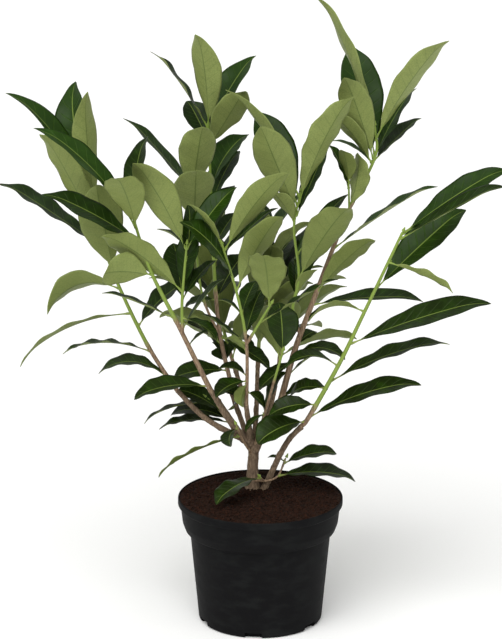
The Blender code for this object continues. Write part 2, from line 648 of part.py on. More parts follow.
class Plan:
    """Every limb, twig and leaf of the plant, each leaf set clear of the other masses."""

    def __init__(self):
        self.limbs = {}
        self.stems = {}
        self.leaves = {}
        self.solids = []
        self.blades = {}
        self.random = random.Random(REAR_SEED)
        self.grow_limbs()
        self.grow_stems()
        self.grow_leaves()

    def grow_limbs(self):
        for name, limb in LIMBS.items():
            lead = None
            foot = Vector(limb.foot or (0, 0, 0)) * MM
            if limb.foot is None:
                trunk = self.limbs["trunk"]
                lead = trunk.tangent(len(trunk.points) - 1)
                foot = trunk.points[-1] + lead * GAP
            self.limbs[name] = Stem(foot, limb.runs, limb.radius, limb.tip_radius, lead)
            self.add_solid(name, self.limbs[name], limb_sides(name), root_flare(self.limbs[name]))

    def add_solid(self, owner, stem, sides, flare=0.0):
        self.solids.append((owner, Solid(*tube(stem, sides, swell=CLEAR_LIMB, flare=flare))))

    def grow_stems(self):
        for name, (bough, twigs) in MASSES.items():
            made = []
            for twig in twigs:
                if twig.parent is not None:
                    foot, lead = made[twig.parent].at_height(twig.height)[0], None
                elif bough == "trunk":
                    foot, lead = Vector(twig.height) * MM, None
                else:
                    foot, lead = self.past_tip(bough)
                made.append(Stem(foot, twig.runs, twig.radius, twig.tip_radius, lead))
                self.add_solid(name, made[-1], STEM_SIDES)
            self.stems[name] = made
        for name, rear in REAR_MASSES.items():
            foot, lead = self.past_tip(rear.bough)
            stem = Stem(foot, rear.runs, rear.radius, rear.tip_radius, lead)
            self.stems[name] = [stem]
            self.add_solid(name, stem, STEM_SIDES)

    def past_tip(self, bough):
        limb = self.limbs[bough]
        lead = limb.tangent(len(limb.points) - 1)
        return limb.points[-1] + lead * GAP, lead

    def grow_leaves(self):
        for name, (_, twigs) in MASSES.items():
            self.leaves[name] = []
            for stem, twig in zip(self.stems[name], twigs):
                for leaf in twig.leaves:
                    foot, along = stem.at_height(leaf.height)
                    tries = []
                    for swing in SWINGS:
                        axis = heading(leaf.fan, leaf.tilt + swing)
                        tries.append((axis, upper_side(axis, along, leaf.face)))
                    size = (leaf.length * MM, leaf.width * MM, leaf.arch)
                    self.set_leaf(name, foot, tries, size)
        for name, rear in REAR_MASSES.items():
            self.leaves[name] = []
            self.grow_rear(name, rear)

    def grow_rear(self, name, rear):
        """Leaves in a spiral round the stem, spread wide low down and upright at the tip."""
        stem = self.stems[name][0]
        for i in range(rear.count):
            share = (i + REAR_START) / (rear.count + REAR_START)
            foot, along = stem.at_share(share)
            across = along.cross(Vector((0, 1, 0))).normalized()
            other = along.cross(across)
            spread = math.radians(REAR_SPREAD[0] + (REAR_SPREAD[1] - REAR_SPREAD[0]) * share)
            grown = self.random.uniform(*REAR_LENGTHS)
            tries = []
            for swing in REAR_SWINGS:
                turn = math.radians(rear.turn + swing) + i * GOLDEN_TURN
                out = across * math.cos(turn) + other * math.sin(turn)
                axis = along * math.cos(spread) + out * math.sin(spread)
                tries.append((axis, natural_upper_side(axis, along)))
            size = (rear.length * MM * grown, rear.width * MM * grown, REAR_ARCH)
            self.set_leaf(name, foot, tries, size)

    def set_leaf(self, name, foot, tries, size):
        """Take the first try that is clear of all, or of the other masses, or else none."""
        spare = None
        mine = self.blades.setdefault(name, [])
        for axis, upper in tries:
            whole = Solid(*leaf_solid(foot, axis, upper, *size, CLEAR_WIDTH, CLEAR_THICKNESS))
            if any(whole.meets(other) for owner, other in self.solids if owner != name):
                continue
            outer = Solid(*leaf_solid(foot, axis, upper, *size, start=LEAF_FLOOR))
            if not any(outer.meets(other) for other in mine):
                spare = (axis, upper, whole, outer)
                break
            spare = spare or (axis, upper, whole, outer)
        if spare:
            axis, upper, whole, outer = spare
            self.leaves[name].append((foot, axis, upper, *size))
            self.solids.append((name, whole))
            mine.append(outer)


def limb_object(name, plan, finish):
    stem = plan.limbs[name]
    item = new_object(name, *tube(stem, limb_sides(name), flare=root_flare(stem)), finish)
    for other in carriers(name):
        cut_clear(item, plan, other)
    return item


def root_flare(stem):
    return ROOT_FLARE if stem.points[0].z < SOIL_LEVEL + MM else 0.0


def carriers(name):
    """Limbs laid down earlier, whose joints a limb is cut clear of."""
    names = list(LIMBS)
    return names[:names.index(name)]


def cut_clear(item, plan, other):
    """Cut one limb's space and the gap round it out of a piece that starts inside it."""
    stem = plan.limbs[other]
    shape = tube(stem, limb_sides(other), swell=GAP, flare=root_flare(stem), overrun=GAP)
    cutter = new_object("cutter", *shape, item.data.materials[0])
    cutter.hide_render = True
    cutter.display_type = "WIRE"
    box, wide = bounds(cutter), bounds(item)
    if all(box[0][k] < wide[1][k] and wide[0][k] < box[1][k] for k in range(3)):
        boolean(item, "DIFFERENCE", cutter)
    bpy.data.objects.remove(cutter, do_unlink=True)


def bounds(item):
    corners = [v.co for v in item.data.vertices]
    return ([min(c[k] for c in corners) for k in range(3)],
            [max(c[k] for c in corners) for k in range(3)])


def mass_object(name, plan, finish):
    """Twigs and leaves of one mass, joined by one union."""
    stems = plan.stems[name]
    item = new_object(name, *tube(stems[0], STEM_SIDES), finish)
    if MASSES.get(name, ("",))[0] == "trunk":
        for other in LIMBS:
            cut_clear(item, plan, other)
    group = bpy.data.collections.new(name + "_parts")
    bpy.context.scene.collection.children.link(group)
    shapes = [tube(stem, STEM_SIDES) for stem in stems[1:]]
    shapes += [leaf_solid(*leaf) for leaf in plan.leaves[name]]
    for vertices, faces in shapes:
        piece = new_object("part_of_" + name, vertices, faces, finish)
        bpy.context.scene.collection.objects.unlink(piece)
        group.objects.link(piece)
    boolean(item, "UNION", collection=group)
    for piece in list(group.objects):
        bpy.data.objects.remove(piece, do_unlink=True)
    bpy.data.collections.remove(group)
    return item


def main():
    clear_scene()
    plan = Plan()
    wood, skin = bark(), leaf_skin()
    pot()
    soil()
    for name in LIMBS:
        limb_object(name, plan, wood)
    for name in plan.stems:
        mass_object(name, plan, skin)
    return plan


main()
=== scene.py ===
"""Looks of the potted cherry laurel: fine leaves, twigs, bark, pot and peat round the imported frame.

The frame is in metres, +Z up, the origin in the middle of the pot's flat underside, and the
plant is seen from -Y. Limbs, twigs and leaves grow by the same rule and from the same tables
as the solids, so each leaf here lies in the place of its solid.
"""
import json
import math
import random
from collections import namedtuple

import bmesh
import bpy
import numpy as np
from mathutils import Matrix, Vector, noise
from mathutils.bvhtree import BVHTree

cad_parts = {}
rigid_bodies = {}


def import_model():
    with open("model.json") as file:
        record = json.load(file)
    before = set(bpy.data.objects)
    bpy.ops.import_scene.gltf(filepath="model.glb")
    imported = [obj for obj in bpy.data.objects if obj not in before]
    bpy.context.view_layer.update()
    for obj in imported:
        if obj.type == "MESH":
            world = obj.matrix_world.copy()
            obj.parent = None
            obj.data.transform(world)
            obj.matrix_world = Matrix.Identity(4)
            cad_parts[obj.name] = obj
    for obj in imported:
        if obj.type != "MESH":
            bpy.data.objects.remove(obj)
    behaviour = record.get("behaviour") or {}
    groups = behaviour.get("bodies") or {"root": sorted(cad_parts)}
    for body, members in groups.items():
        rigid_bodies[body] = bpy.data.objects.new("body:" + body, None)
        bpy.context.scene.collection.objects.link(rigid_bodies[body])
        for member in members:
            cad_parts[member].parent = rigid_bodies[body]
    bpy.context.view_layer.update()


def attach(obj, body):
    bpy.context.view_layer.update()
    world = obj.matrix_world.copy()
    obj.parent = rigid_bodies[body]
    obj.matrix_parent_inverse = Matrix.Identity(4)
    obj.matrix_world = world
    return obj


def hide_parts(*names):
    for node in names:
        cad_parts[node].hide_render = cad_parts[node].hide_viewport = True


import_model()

MM = 0.001
GAP = 0.0003

# Pot and peat
POT_RIM_RADIUS = 0.1129
POT_COLLAR_RADIUS = 0.1093
POT_COLLAR_FOOT_RADIUS = 0.1067
POT_STEP_RADIUS = 0.0965
POT_BASE_RADIUS = 0.0850
POT_HEIGHT = 0.1760
POT_LIP_HEIGHT = 0.1640
POT_COLLAR_FOOT = 0.1410
POT_STEP = 0.1266
POT_CORNER = 0.0030
POT_WALL = 0.0020
POT_FLOOR = 0.0095
POT_LIP_EDGE = 0.0010
POT_LIP_ROUND = 0.0020
POT_LIP_WALL = 0.0018
POT_LIP_FLARE = 0.0040
POT_STEP_RISE = 0.0035
POT_STEP_LEDGE = 0.0040
NOTCHES = 6
NOTCH_TURN = math.radians(-96.7)
NOTCH_WIDTH = 0.023
NOTCH_HEIGHT = 0.008
NOTCH_DEPTH = 0.008
NOTCH_OVERRUN = 0.010
NOTCH_UNDERCUT = 0.005
NOTCH_RING_OUT = 0.0006
NOTCH_RING_RISE = 0.0015
SOIL_LEVEL = 0.1780
SOIL_EDGE = 0.1742
SOIL_FLAT_RADIUS = 0.0520
PEAT_RADIUS = POT_RIM_RADIUS - POT_LIP_WALL - GAP - 0.0002

# Limbs
TRUNK_SIDES = 12
LIMB_SIDES = 10
ROOT_FLARE = 0.42
ROOT_FLARE_HEIGHT = 0.009
CLEAR_LIMB = 0.0008

# Twigs and leaves of the solids: shares are of a leaf's length or width
LEAF_THICKNESS = 0.018
LEAF_FOLD = 0.30
PETIOLE = 0.09
PETIOLE_RADIUS = 0.0016
PETIOLE_SWELL = 1.25
LEAF_WIDEST = 1.15
LEAF_FULLNESS = 0.8
LEAF_STATIONS = (0.0, PETIOLE, 0.26, 0.47, 0.68, 0.87, 1.0)
LEAF_TAIL = 0.04
LEAF_TAIL_START = 0.80
LEAF_FLOOR = 2
STEM_SIDES = 5
STEM_PACE = 0.030
STEM_LEAD = 0.020
FRONT = Vector((0.0, -0.962, 0.272))
CLEAR_WIDTH = 0.0012
CLEAR_THICKNESS = 0.0032
SWINGS = (0, 6, -6, 12, -12, 18, -18, 25, -25, 32, -32)
GOLDEN_TURN = math.radians(137.5)

# Fine twigs and bark
TWIG_PACE = 0.005
TWIG_SIDES = 10
BARK_PACE = 0.0016
BARK_SIDES = 30
ROOT_SINK = 0.0035
SCAR_PACE = 0.026
SCAR_DEPTH = 0.0004
OVERLAP = 0.0015
STALK_STEPS = 7
BUD_REACH = 0.0022

# Fine leaf blades
BLADE_ROWS = 26
BLADE_COLUMNS = (-1.0, -0.88, -0.64, -0.36, -0.11, 0.0, 0.11, 0.36, 0.64, 0.88, 1.0)
BLADE_THICKNESS = 0.0007
RIB_DEPTH = 0.0007

# Height in mm above which the bark of a mass's twigs is still green
GREEN_FROM = {
    "leaves_far_left": (383,),
    "leaves_left": (438, 430),
    "leaves_back": (451, 440),
    "leaves_front": (419, 415),
    "leaves_right": (580, 560, 430),
    "leaves_far_right": (309,),
    "leaves_low_middle": (345,),
    "leaves_low_left": (285,),
    "leaves_low_front": (275,),
    "leaves_foot": (218, 218),
    "leaves_rear_left": (350,),
    "leaves_rear_middle": (345,),
    "leaves_rear_right": (340,),
}

# A limb grows from its foot, in mm, through runs of length, fan and tilt, in mm and degrees
Limb = namedtuple("Limb", "foot runs radius tip_radius")

LIMBS = {
    "trunk": Limb((-11, 28, 178.3), ((34, 1, -3), (26, 3, -4), (15, -32, -22)), 8.5, 6.4),
    "bough_left": Limb(None, ((17, -48, -24), (84, -29, -17)), 5.9, 3.8),
    "bough_far_left": Limb((-28, 12, 256), ((54, -60, 1), (54, -45, 4)), 3.9, 3.3),
    "bough_back": Limb((-14, 27, 243), ((62, -20, 5), (30, -12, 6)), 3.6, 3.2),
    "bough_front": Limb((-17, 18, 247), ((18, 5, -30), (46, -4, -15)), 3.3, 2.8),
    "bough_right": Limb((-9, 24, 234), ((76, 27, -9),), 6.4, 4.8),
    "stem_right": Limb((5.0, 21, 178.3), ((78, 22, -16), (40, 35, -15)), 4.3, 3.5),
    "bough_rear_left": Limb((-12, 27, 240), ((60, -10, 42), (62, -20, 40)), 3.7, 3.0),
    "bough_rear_middle": Limb((-10, 26, 232), ((64, 6, 46), (70, 2, 32)), 3.7, 3.0),
    "bough_rear_right": Limb((-9, 25, 236), ((68, 27, 42), (62, 14, 38)), 3.7, 3.0),
}

# Leaf: height of its foot (mm), fan, tilt (degrees), length, width (mm), how squarely its upper
# side faces the front (-1 shows the whole underside), and its arch as a share of its length
Leaf = namedtuple("Leaf", "height fan tilt length width face arch")

# Twig: the twig it leaves and at what height (mm), its runs, radii (mm) and its own leaves
Twig = namedtuple("Twig", "parent height runs radius tip_radius leaves")

MASSES = {
    "leaves_far_left": ("bough_far_left", [
        Twig(None, None, ((82, -32, 4), (117, -24, 5), (92, -14, 5)), 3.1, 1.7, (
            Leaf(338, -84, 0, 96, 38, 0.40, 0.21),
            Leaf(375, -89, 0, 121, 30, 0.10, 0.10),
            Leaf(410, 51, 20, 98, 44, 0.55, 0.08),
            Leaf(428, -114, 0, 170, 32, -0.12, 0.10),
            Leaf(461, -106, -5, 104, 52, -0.50, 0.26),
            Leaf(484, -7, -26, 158, 62, -0.95, 0.00),
            Leaf(519, -24, -16, 194, 44, -0.75, 0.02),
            Leaf(515, -57, 8, 170, 52, 0.35, 0.01),
            Leaf(556, -3, -20, 204, 38, -0.85, 0.04),
            Leaf(568, -12, 28, 186, 56, 0.85, 0.08),
            Leaf(576, -36, 16, 190, 46, 0.50, 0.08),
            Leaf(530, 20, 55, 120, 42, 0.60, 0.08),
        )),
    ]),
    "leaves_left": ("bough_left", [
        Twig(None, None, ((109, -23, -15), (93, -24, -11), (75, -16, -9)), 3.7, 1.8, (
            Leaf(337, -97, -4, 102, 44, 0.45, 0.09),
            Leaf(400, 50, -10, 36, 14, 0.30, 0.08),
            Leaf(441, -68, 0, 102, 24, 0.10, 0.02),
            Leaf(504, -76, -38, 82, 54, -0.80, 0.07),
            Leaf(548, -59, -6, 146, 45, 0.65, 0.04),
            Leaf(567, -42, -2, 190, 42, 0.50, 0.08),
            Leaf(569, -12, -46, 140, 51, -0.95, 0.06),
            Leaf(576, 6, 30, 122, 46, 0.60, 0.06),
        )),
        Twig(0, 418, ((49, 0, -9), (76, 5, -9)), 2.3, 1.5, (
            Leaf(425, 37, 0, 88, 26, 0.20, 0.03),
            Leaf(435, 130, 20, 59, 22, 0.50, 0.10),
            Leaf(441, 120, -10, 55, 28, 0.35, 0.10),
            Leaf(467, 43, 26, 72, 24, 0.60, 0.06),
            Leaf(465, -10, 34, 84, 42, 0.95, 0.05),
            Leaf(478, 11, 12, 92, 34, 0.85, 0.05),
            Leaf(478, -47, -28, 150, 42, -0.80, 0.07),
            Leaf(521, 4, 30, 75, 34, 0.80, 0.06),
            Leaf(538, -25, -24, 164, 50, -0.92, 0.06),
            Leaf(538, 39, 30, 106, 38, 0.80, 0.06),
        )),
    ]),
    "leaves_back": ("bough_back", [
        Twig(None, None, ((66, -12, 6), (91, -5, 6), (192, -2, 1.5)), 3.2, 1.6, (
            Leaf(344, -97, -4, 76, 44, 0.55, 0.08),
            Leaf(355, -31, 30, 44, 26, 0.60, 0.08),
            Leaf(355, -1, 42, 40, 38, 0.90, 0.06),
            Leaf(379, -54, 5, 70, 32, -0.50, 0.04),
            Leaf(387, -68, 22, 44, 24, 0.50, 0.10),
            Leaf(390, 116, -24, 82, 32, 0.60, 0.04),
            Leaf(441, 36, 32, 80, 44, 0.70, 0.06),
            Leaf(441, -104, 2, 45, 24, 0.40, 0.12),
            Leaf(493, 48, 5, 114, 24, 0.45, 0.02),
            Leaf(508, 34, 30, 66, 36, 0.65, 0.06),
            Leaf(530, 24, 30, 78, 38, 0.70, 0.08),
            Leaf(560, -42, 12, 176, 36, 0.32, 0.01),
            Leaf(572, 29, 30, 88, 50, 0.60, 0.05),
            Leaf(593, 34, 20, 92, 52, 0.55, 0.10),
            Leaf(653, 29, -30, 118, 46, -0.80, 0.00),
            Leaf(656, -29, 30, 70, 40, 0.90, 0.03),
            Leaf(675, 33, 26, 124, 46, 0.70, 0.04),
            Leaf(676, -34, 0, 130, 30, 0.20, 0.03),
            Leaf(679, -5, -20, 148, 46, -0.82, 0.04),
        )),
        Twig(0, 392, ((72, -21, -8), (135, -5, -6)), 1.9, 1.3, (
            Leaf(556, 3, -40, 120, 55, -0.95, 0.00),
            Leaf(590, 9, -24, 122, 50, -0.95, 0.05),
        )),
    ]),
    "leaves_front": ("bough_front", [
        Twig(None, None, ((98, 0, -18), (82, -9, -18), (75, -15, -15)), 2.7, 1.5, (
            Leaf(312, -71, 14, 42, 32, 0.50, 0.12),
            Leaf(320, -143, 12, 43, 30, 0.40, 0.10),
            Leaf(328, 137, 10, 36, 30, 0.45, 0.12),
            Leaf(342, -167, -30, 34, 28, -0.55, 0.12),
            Leaf(345, -111, -22, 49, 38, 0.50, 0.12),
            Leaf(353, -78, 14, 40, 28, 0.30, 0.14),
            Leaf(391, -53, -10, 36, 18, -0.60, 0.12),
            Leaf(402, -54, 0, 72, 22, 0.20, 0.00),
            Leaf(414, 21, 30, 70, 36, 0.80, 0.05),
            Leaf(448, 27, 42, 57, 28, 0.80, 0.05),
            Leaf(447, -55, 2, 37, 18, 0.25, 0.10),
            Leaf(482, 26, -24, 146, 44, -0.80, 0.06),
            Leaf(496, -36, 14, 118, 48, 0.50, 0.10),
            Leaf(541, 33, -22, 158, 43, -0.80, 0.06),
            Leaf(550, -33, -5, 82, 20, -0.40, 0.05),
        )),
        Twig(0, 402, ((80, 26, -27),), 2.1, 1.4, (
            Leaf(438, 58, 0, 119, 24, 0.15, 0.00),
            Leaf(464, -5, -40, 122, 51, -0.97, 0.06),
        )),
    ]),
    "leaves_right": ("bough_right", [
        Twig(None, None, ((83, 15, -1), (77, 20, 4), (116, 21, 7.5), (89, 26, 6.5), (38, 0, 4)),
             4.6, 1.7, (
            Leaf(313, 82, 15, 66, 34, 0.45, 0.12),
            Leaf(344, 55, 0, 76, 22, 0.10, 0.06),
            Leaf(367, -130, -26, 60, 34, 0.50, 0.01),
            Leaf(373, 88, -14, 72, 34, 0.35, 0.18),
            Leaf(388, 65, 40, 39, 26, 0.60, 0.08),
            Leaf(443, 88, 5, 152, 38, 0.40, 0.04),
            Leaf(458, 40, -25, 132, 36, -0.75, 0.07),
            Leaf(518, 56, 0, 164, 36, 0.12, 0.02),
            Leaf(572, 8, -15, 86, 36, -0.75, 0.06),
            Leaf(632, -38, -18, 106, 36, -0.50, 0.07),
            Leaf(633, -61, 10, 63, 16, 0.40, 0.10),
            Leaf(635, 50, 24, 92, 40, 0.40, 0.01),
            Leaf(639, 31, 20, 112, 42, 0.55, 0.04),
            Leaf(637, -18, -25, 148, 42, -0.97, 0.05),
            Leaf(642, -13, 26, 162, 58, 0.95, 0.02),
            Leaf(663, 32, -14, 178, 47, -0.60, 0.05),
            Leaf(679, -23, 5, 198, 38, -0.35, 0.03),
        )),
        Twig(0, 571, ((42, -2, -10),), 1.6, 1.2, (
            Leaf(600, -24, 0, 68, 24, 0.60, 0.06),
            Leaf(607, -11, -12, 66, 28, -0.70, 0.06),
            Leaf(611, 9, 4, 36, 14, 0.50, 0.06),
        )),
        Twig(0, 402, ((41, -15, -14), (51, 9, -9), (66, -6, -2), (45, 10, 2)), 2.4, 1.5, (
            Leaf(456, 34, -5, 52, 28, -0.50, 0.06),
            Leaf(458, -2, 26, 54, 34, 0.80, 0.06),
            Leaf(468, 26, 34, 100, 38, 0.85, 0.05),
            Leaf(484, 28, -30, 158, 52, -0.90, 0.06),
            Leaf(518, 43, 26, 114, 24, 0.75, 0.04),
            Leaf(561, -32, -20, 62, 30, -0.60, 0.07),
            Leaf(571, 25, 16, 102, 34, 0.60, 0.00),
            Leaf(578, -21, -27, 160, 51, -0.97, 0.00),
            Leaf(584, -25, 27, 146, 54, 0.90, 0.04),
            Leaf(588, 24, -15, 180, 50, -0.70, 0.06),
            Leaf(596, -31, 8, 178, 34, -0.35, 0.05),
        )),
    ]),
    "leaves_far_right": ("stem_right", [
        Twig(None, None, ((18, 35, -15), (91, 26, -13), (82, 23, -10.5), (127, 22.5, -11)),
             3.4, 1.8, (
            Leaf(287, -107, -24, 74, 50, 0.60, 0.10),
            Leaf(293, 68, -10, 162, 42, 0.50, 0.06),
            Leaf(313, -101, -6, 65, 32, 0.75, 0.14),
            Leaf(338, -112, 20, 60, 30, 0.55, 0.14),
            Leaf(348, 73, 12, 172, 38, 0.45, 0.05),
            Leaf(372, -90, -5, 72, 36, 0.30, 0.22),
            Leaf(404, 69, -8, 198, 46, 0.62, 0.03),
            Leaf(452, -96, -8, 76, 38, -0.12, 0.18),
            Leaf(485, 51, 24, 168, 56, 0.70, 0.01),
            Leaf(524, 111, -14, 94, 26, -0.25, 0.03),
            Leaf(556, 56, -18, 162, 46, 0.30, 0.01),
            Leaf(563, 59, 10, 158, 42, 0.65, 0.00),
            Leaf(563, 58, 10, 164, 42, 0.65, 0.03),
        )),
    ]),
    "leaves_low_middle": ("trunk", [
        Twig(None, (-7, 19, 243), ((60, 14, -20), (46, 14, -16), (51, 14, -17)), 2.3, 1.5, (
            Leaf(287, 23, 4, 71, 26, 0.35, 0.05),
            Leaf(294, -128, -10, 36, 16, 0.50, 0.10),
            Leaf(378, -29, 10, 74, 30, -0.70, 0.08),
            Leaf(388, -3, 38, 70, 46, 0.95, 0.06),
        )),
    ]),
    "leaves_low_left": ("trunk", [
        Twig(None, (-13, 29, 236), ((36, -38, 11), (27, -42, 4), (25, -45, 0)), 2.3, 1.5, (
            Leaf(269, -93, 0, 100, 30, 0.35, 0.08),
            Leaf(267, -25, -12, 43, 22, 0.12, 0.04),
            Leaf(272, -86, 5, 83, 42, 0.55, 0.15),
            Leaf(283, -59, -5, 70, 36, 0.60, 0.08),
            Leaf(297, -107, 5, 100, 22, 0.15, 0.09),
        )),
    ]),
    "leaves_low_front": ("trunk", [
        Twig(None, (-11, 23, 228), ((38, -26, -32), (24, -18, -24)), 2.1, 1.4, (
            Leaf(262, -114, -6, 125, 26, -0.12, 0.06),
            Leaf(275, -155, -36, 28, 36, 0.45, 0.25),
        )),
    ]),
    "leaves_foot": ("trunk", [
        Twig(None, (-7, 21, 190), ((9, 60, -50), (14, 80, -27), (16, 70, 20), (22, 24, 10)),
             1.7, 1.2, (
            Leaf(200, 94, 5, 108, 42, 0.45, 0.08),
            Leaf(217, 79, 5, 74, 36, 0.45, 0.08),
            Leaf(222, -80, 15, 24, 12, 0.30, 0.10),
        )),
        Twig(0, 194, ((9, -30, -40),), 1.3, 1.1, (
            Leaf(200, -99, -50, 94, 38, 0.40, 0.08),
        )),
    ]),
}

# Rear masses: the bough, the stem's runs, and the number, length and width of their leaves
Rear = namedtuple("Rear", "bough runs radius tip_radius count length width turn")

REAR_MASSES = {
    "leaves_rear_left": Rear("bough_rear_left", ((60, -18, 28), (74, -12, 16)), 2.9, 1.5,
                             14, 122, 42, 140),
    "leaves_rear_middle": Rear("bough_rear_middle", ((60, 4, 22), (84, 4, 12)), 2.9, 1.5,
                               16, 122, 42, 300),
    "leaves_rear_right": Rear("bough_rear_right", ((60, 6, 30), (60, 2, 22)), 2.9, 1.5,
                              19, 118, 42, 40),
}
REAR_START = 1.6
REAR_SPREAD = (72, 26)
REAR_SWINGS = (0, 14, -14, 28, -28, 42, -42)
REAR_LENGTHS = (0.86, 1.10)
REAR_ARCH = 0.09
REAR_SEED = 7


def heading(fan, tilt):
    """Unit direction of a limb or leaf from its two slopes in degrees."""
    fan, tilt = math.radians(fan), math.radians(tilt)
    return Vector((math.sin(fan) * math.cos(tilt), math.sin(tilt), math.cos(fan) * math.cos(tilt)))


class Stem:
    """Smooth tapering centre line of a limb or twig, through the ends of its runs."""

    def __init__(self, foot, runs, radius, tip_radius, lead=None, pace=STEM_PACE):
        self.lead = lead
        corners = [Vector(foot)]
        for length, fan, tilt in runs:
            corners.append(corners[-1] + heading(fan, tilt) * (length * MM))
        before = corners[0] - (lead or (corners[1] - corners[0]).normalized()) * STEM_LEAD
        after = corners[-1] * 2 - corners[-2]
        guides = [before] + corners + [after]
        self.points = [corners[0]]
        for k in range(1, len(guides) - 2):
            a, b, c, d = guides[k - 1:k + 3]
            steps = max(1, round((c - b).length / pace))
            for i in range(1, steps + 1):
                self.points.append(through(a, b, c, d, i / steps))
        reach = [0.0]
        for p, q in zip(self.points, self.points[1:]):
            reach.append(reach[-1] + (q - p).length)
        self.radii = [(radius + (tip_radius - radius) * r / reach[-1]) * MM for r in reach]

    def tangent(self, i):
        if i == 0 and self.lead:
            return self.lead
        low, high = max(i - 1, 0), min(i + 1, len(self.points) - 1)
        return (self.points[high] - self.points[low]).normalized()

    def at_height(self, height):
        """Point and direction where the stem crosses a height, or at its tip."""
        z = height * MM
        for i, (p, q) in enumerate(zip(self.points, self.points[1:])):
            if p.z <= z <= q.z:
                t = (z - p.z) / (q.z - p.z)
                return p.lerp(q, t), self.tangent(i).lerp(self.tangent(i + 1), t).normalized()
        end = len(self.points) - 1 if z > self.points[-1].z else 0
        return self.points[end].copy(), self.tangent(end)

    def at_share(self, share):
        spot = share * (len(self.points) - 1)
        i = min(int(spot), len(self.points) - 2)
        t = spot - i
        point = self.points[i].lerp(self.points[i + 1], t)
        return point, self.tangent(i).lerp(self.tangent(i + 1), t).normalized()


def through(a, b, c, d, t):
    """Catmull-Rom point between b and c."""
    return 0.5 * (2 * b + (c - a) * t + (2 * a - 5 * b + 4 * c - d) * t ** 2
                  + (3 * b - a - 3 * c + d) * t ** 3)


def tube(stem, sides, swell=0.0, flare=0.0, overrun=0.0):
    """Vertices and faces of a stem's closed skin; a flare widens its foot, which stays level."""
    points = list(stem.points)
    points[0] = points[0] - stem.tangent(0) * overrun
    points[-1] = points[-1] + stem.tangent(len(points) - 1) * overrun
    radii = [r + swell for r in stem.radii]
    vertices, faces = [], []
    across = Vector((0, 1, 0))
    for i, (point, radius) in enumerate(zip(points, radii)):
        along = stem.tangent(i)
        if flare and i == 0:
            along = Vector((0, 0, 1))
        across = (across - across.dot(along) * along).normalized()
        other = along.cross(across)
        if flare:
            height = point.z - points[0].z
            radius *= 1 + flare * math.exp(-height / ROOT_FLARE_HEIGHT)
        for k in range(sides):
            angle = 2 * math.pi * k / sides
            vertices.append(point + (across * math.cos(angle) + other * math.sin(angle)) * radius)
    rings = len(points)
    for i in range(rings - 1):
        for k in range(sides):
            j = (k + 1) % sides
            low, high = i * sides, (i + 1) * sides
            faces.append((low + k, low + j, high + j, high + k))
    faces.append(tuple(reversed(range(sides))))
    faces.append(tuple(range((rings - 1) * sides, rings * sides)))
    return vertices, faces


def limb_sides(name):
    return TRUNK_SIDES if name == "trunk" else LIMB_SIDES


def root_flare(stem):
    return ROOT_FLARE if stem.points[0].z < SOIL_LEVEL + MM else 0.0


def leaf_width(share):
    """Half width of a blade along its length, from petiole to drawn-out tip."""
    u = (share - PETIOLE) / (1 - PETIOLE)
    return math.sin(math.pi * u ** LEAF_WIDEST) ** LEAF_FULLNESS if 0 < u < 1 else 0.0


def leaf_tail(share):
    """How far the drawn-out tip bends down, from 0 where it starts to 1 at its end."""
    return (max(0.0, share - LEAF_TAIL_START) / (1 - LEAF_TAIL_START)) ** 2


def leaf_solid(foot, axis, upper, length, width, arch, extra=0.0, thick=0.0, start=0):
    """Folded, arching blade with a petiole, as vertices and faces."""
    side = axis.cross(upper)
    vertices, faces = [], []
    stations = LEAF_STATIONS[start:]
    for share in stations:
        lift = 4 * arch * share * (1 - share) - LEAF_TAIL * leaf_tail(share)
        middle = foot + axis * (length * share) + upper * (length * lift)
        if share == 1.0:
            vertices.append(middle)
            continue
        petiole = PETIOLE_RADIUS * (1.0 if share < PETIOLE else PETIOLE_SWELL)
        half = max(leaf_width(share) * width / 2, petiole) + extra
        deep = (LEAF_THICKNESS * length / 2 if share > PETIOLE else PETIOLE_RADIUS) + thick
        edge = upper * (LEAF_FOLD * max(0.0, half - petiole - extra))
        vertices += [middle - side * half + edge, middle + upper * deep,
                     middle + side * half + edge, middle - upper * deep]
    rings = len(stations) - 1
    for i in range(rings - 1):
        for k in range(4):
            j = (k + 1) % 4
            faces.append((4 * i + k, 4 * i + 4 + k, 4 * i + 4 + j, 4 * i + j))
    last = 4 * (rings - 1)
    faces += [(last + k, 4 * rings, last + (k + 1) % 4) for k in range(4)]
    faces.append((0, 1, 2, 3))
    return vertices, faces


def upper_side(axis, along, face):
    """Normal of a leaf's upper side, which looks to the tip of its stem."""
    front = (FRONT - FRONT.dot(axis) * axis).normalized()
    side = axis.cross(front)
    if side.dot(along) < 0:
        side = -side
    return (front * face + side * math.sqrt(1 - face * face)).normalized()


def natural_upper_side(axis, along):
    return (along - along.dot(axis) * axis).normalized()


class Solid:
    """Shape kept for clearance tests."""

    def __init__(self, vertices, faces):
        self.tree = BVHTree.FromPolygons([tuple(v) for v in vertices], faces)
        self.low = [min(v[k] for v in vertices) for k in range(3)]
        self.high = [max(v[k] for v in vertices) for k in range(3)]

    def meets(self, other):
        apart = any(self.low[k] > other.high[k] or other.low[k] > self.high[k] for k in range(3))
        return not apart and bool(self.tree.overlap(other.tree))


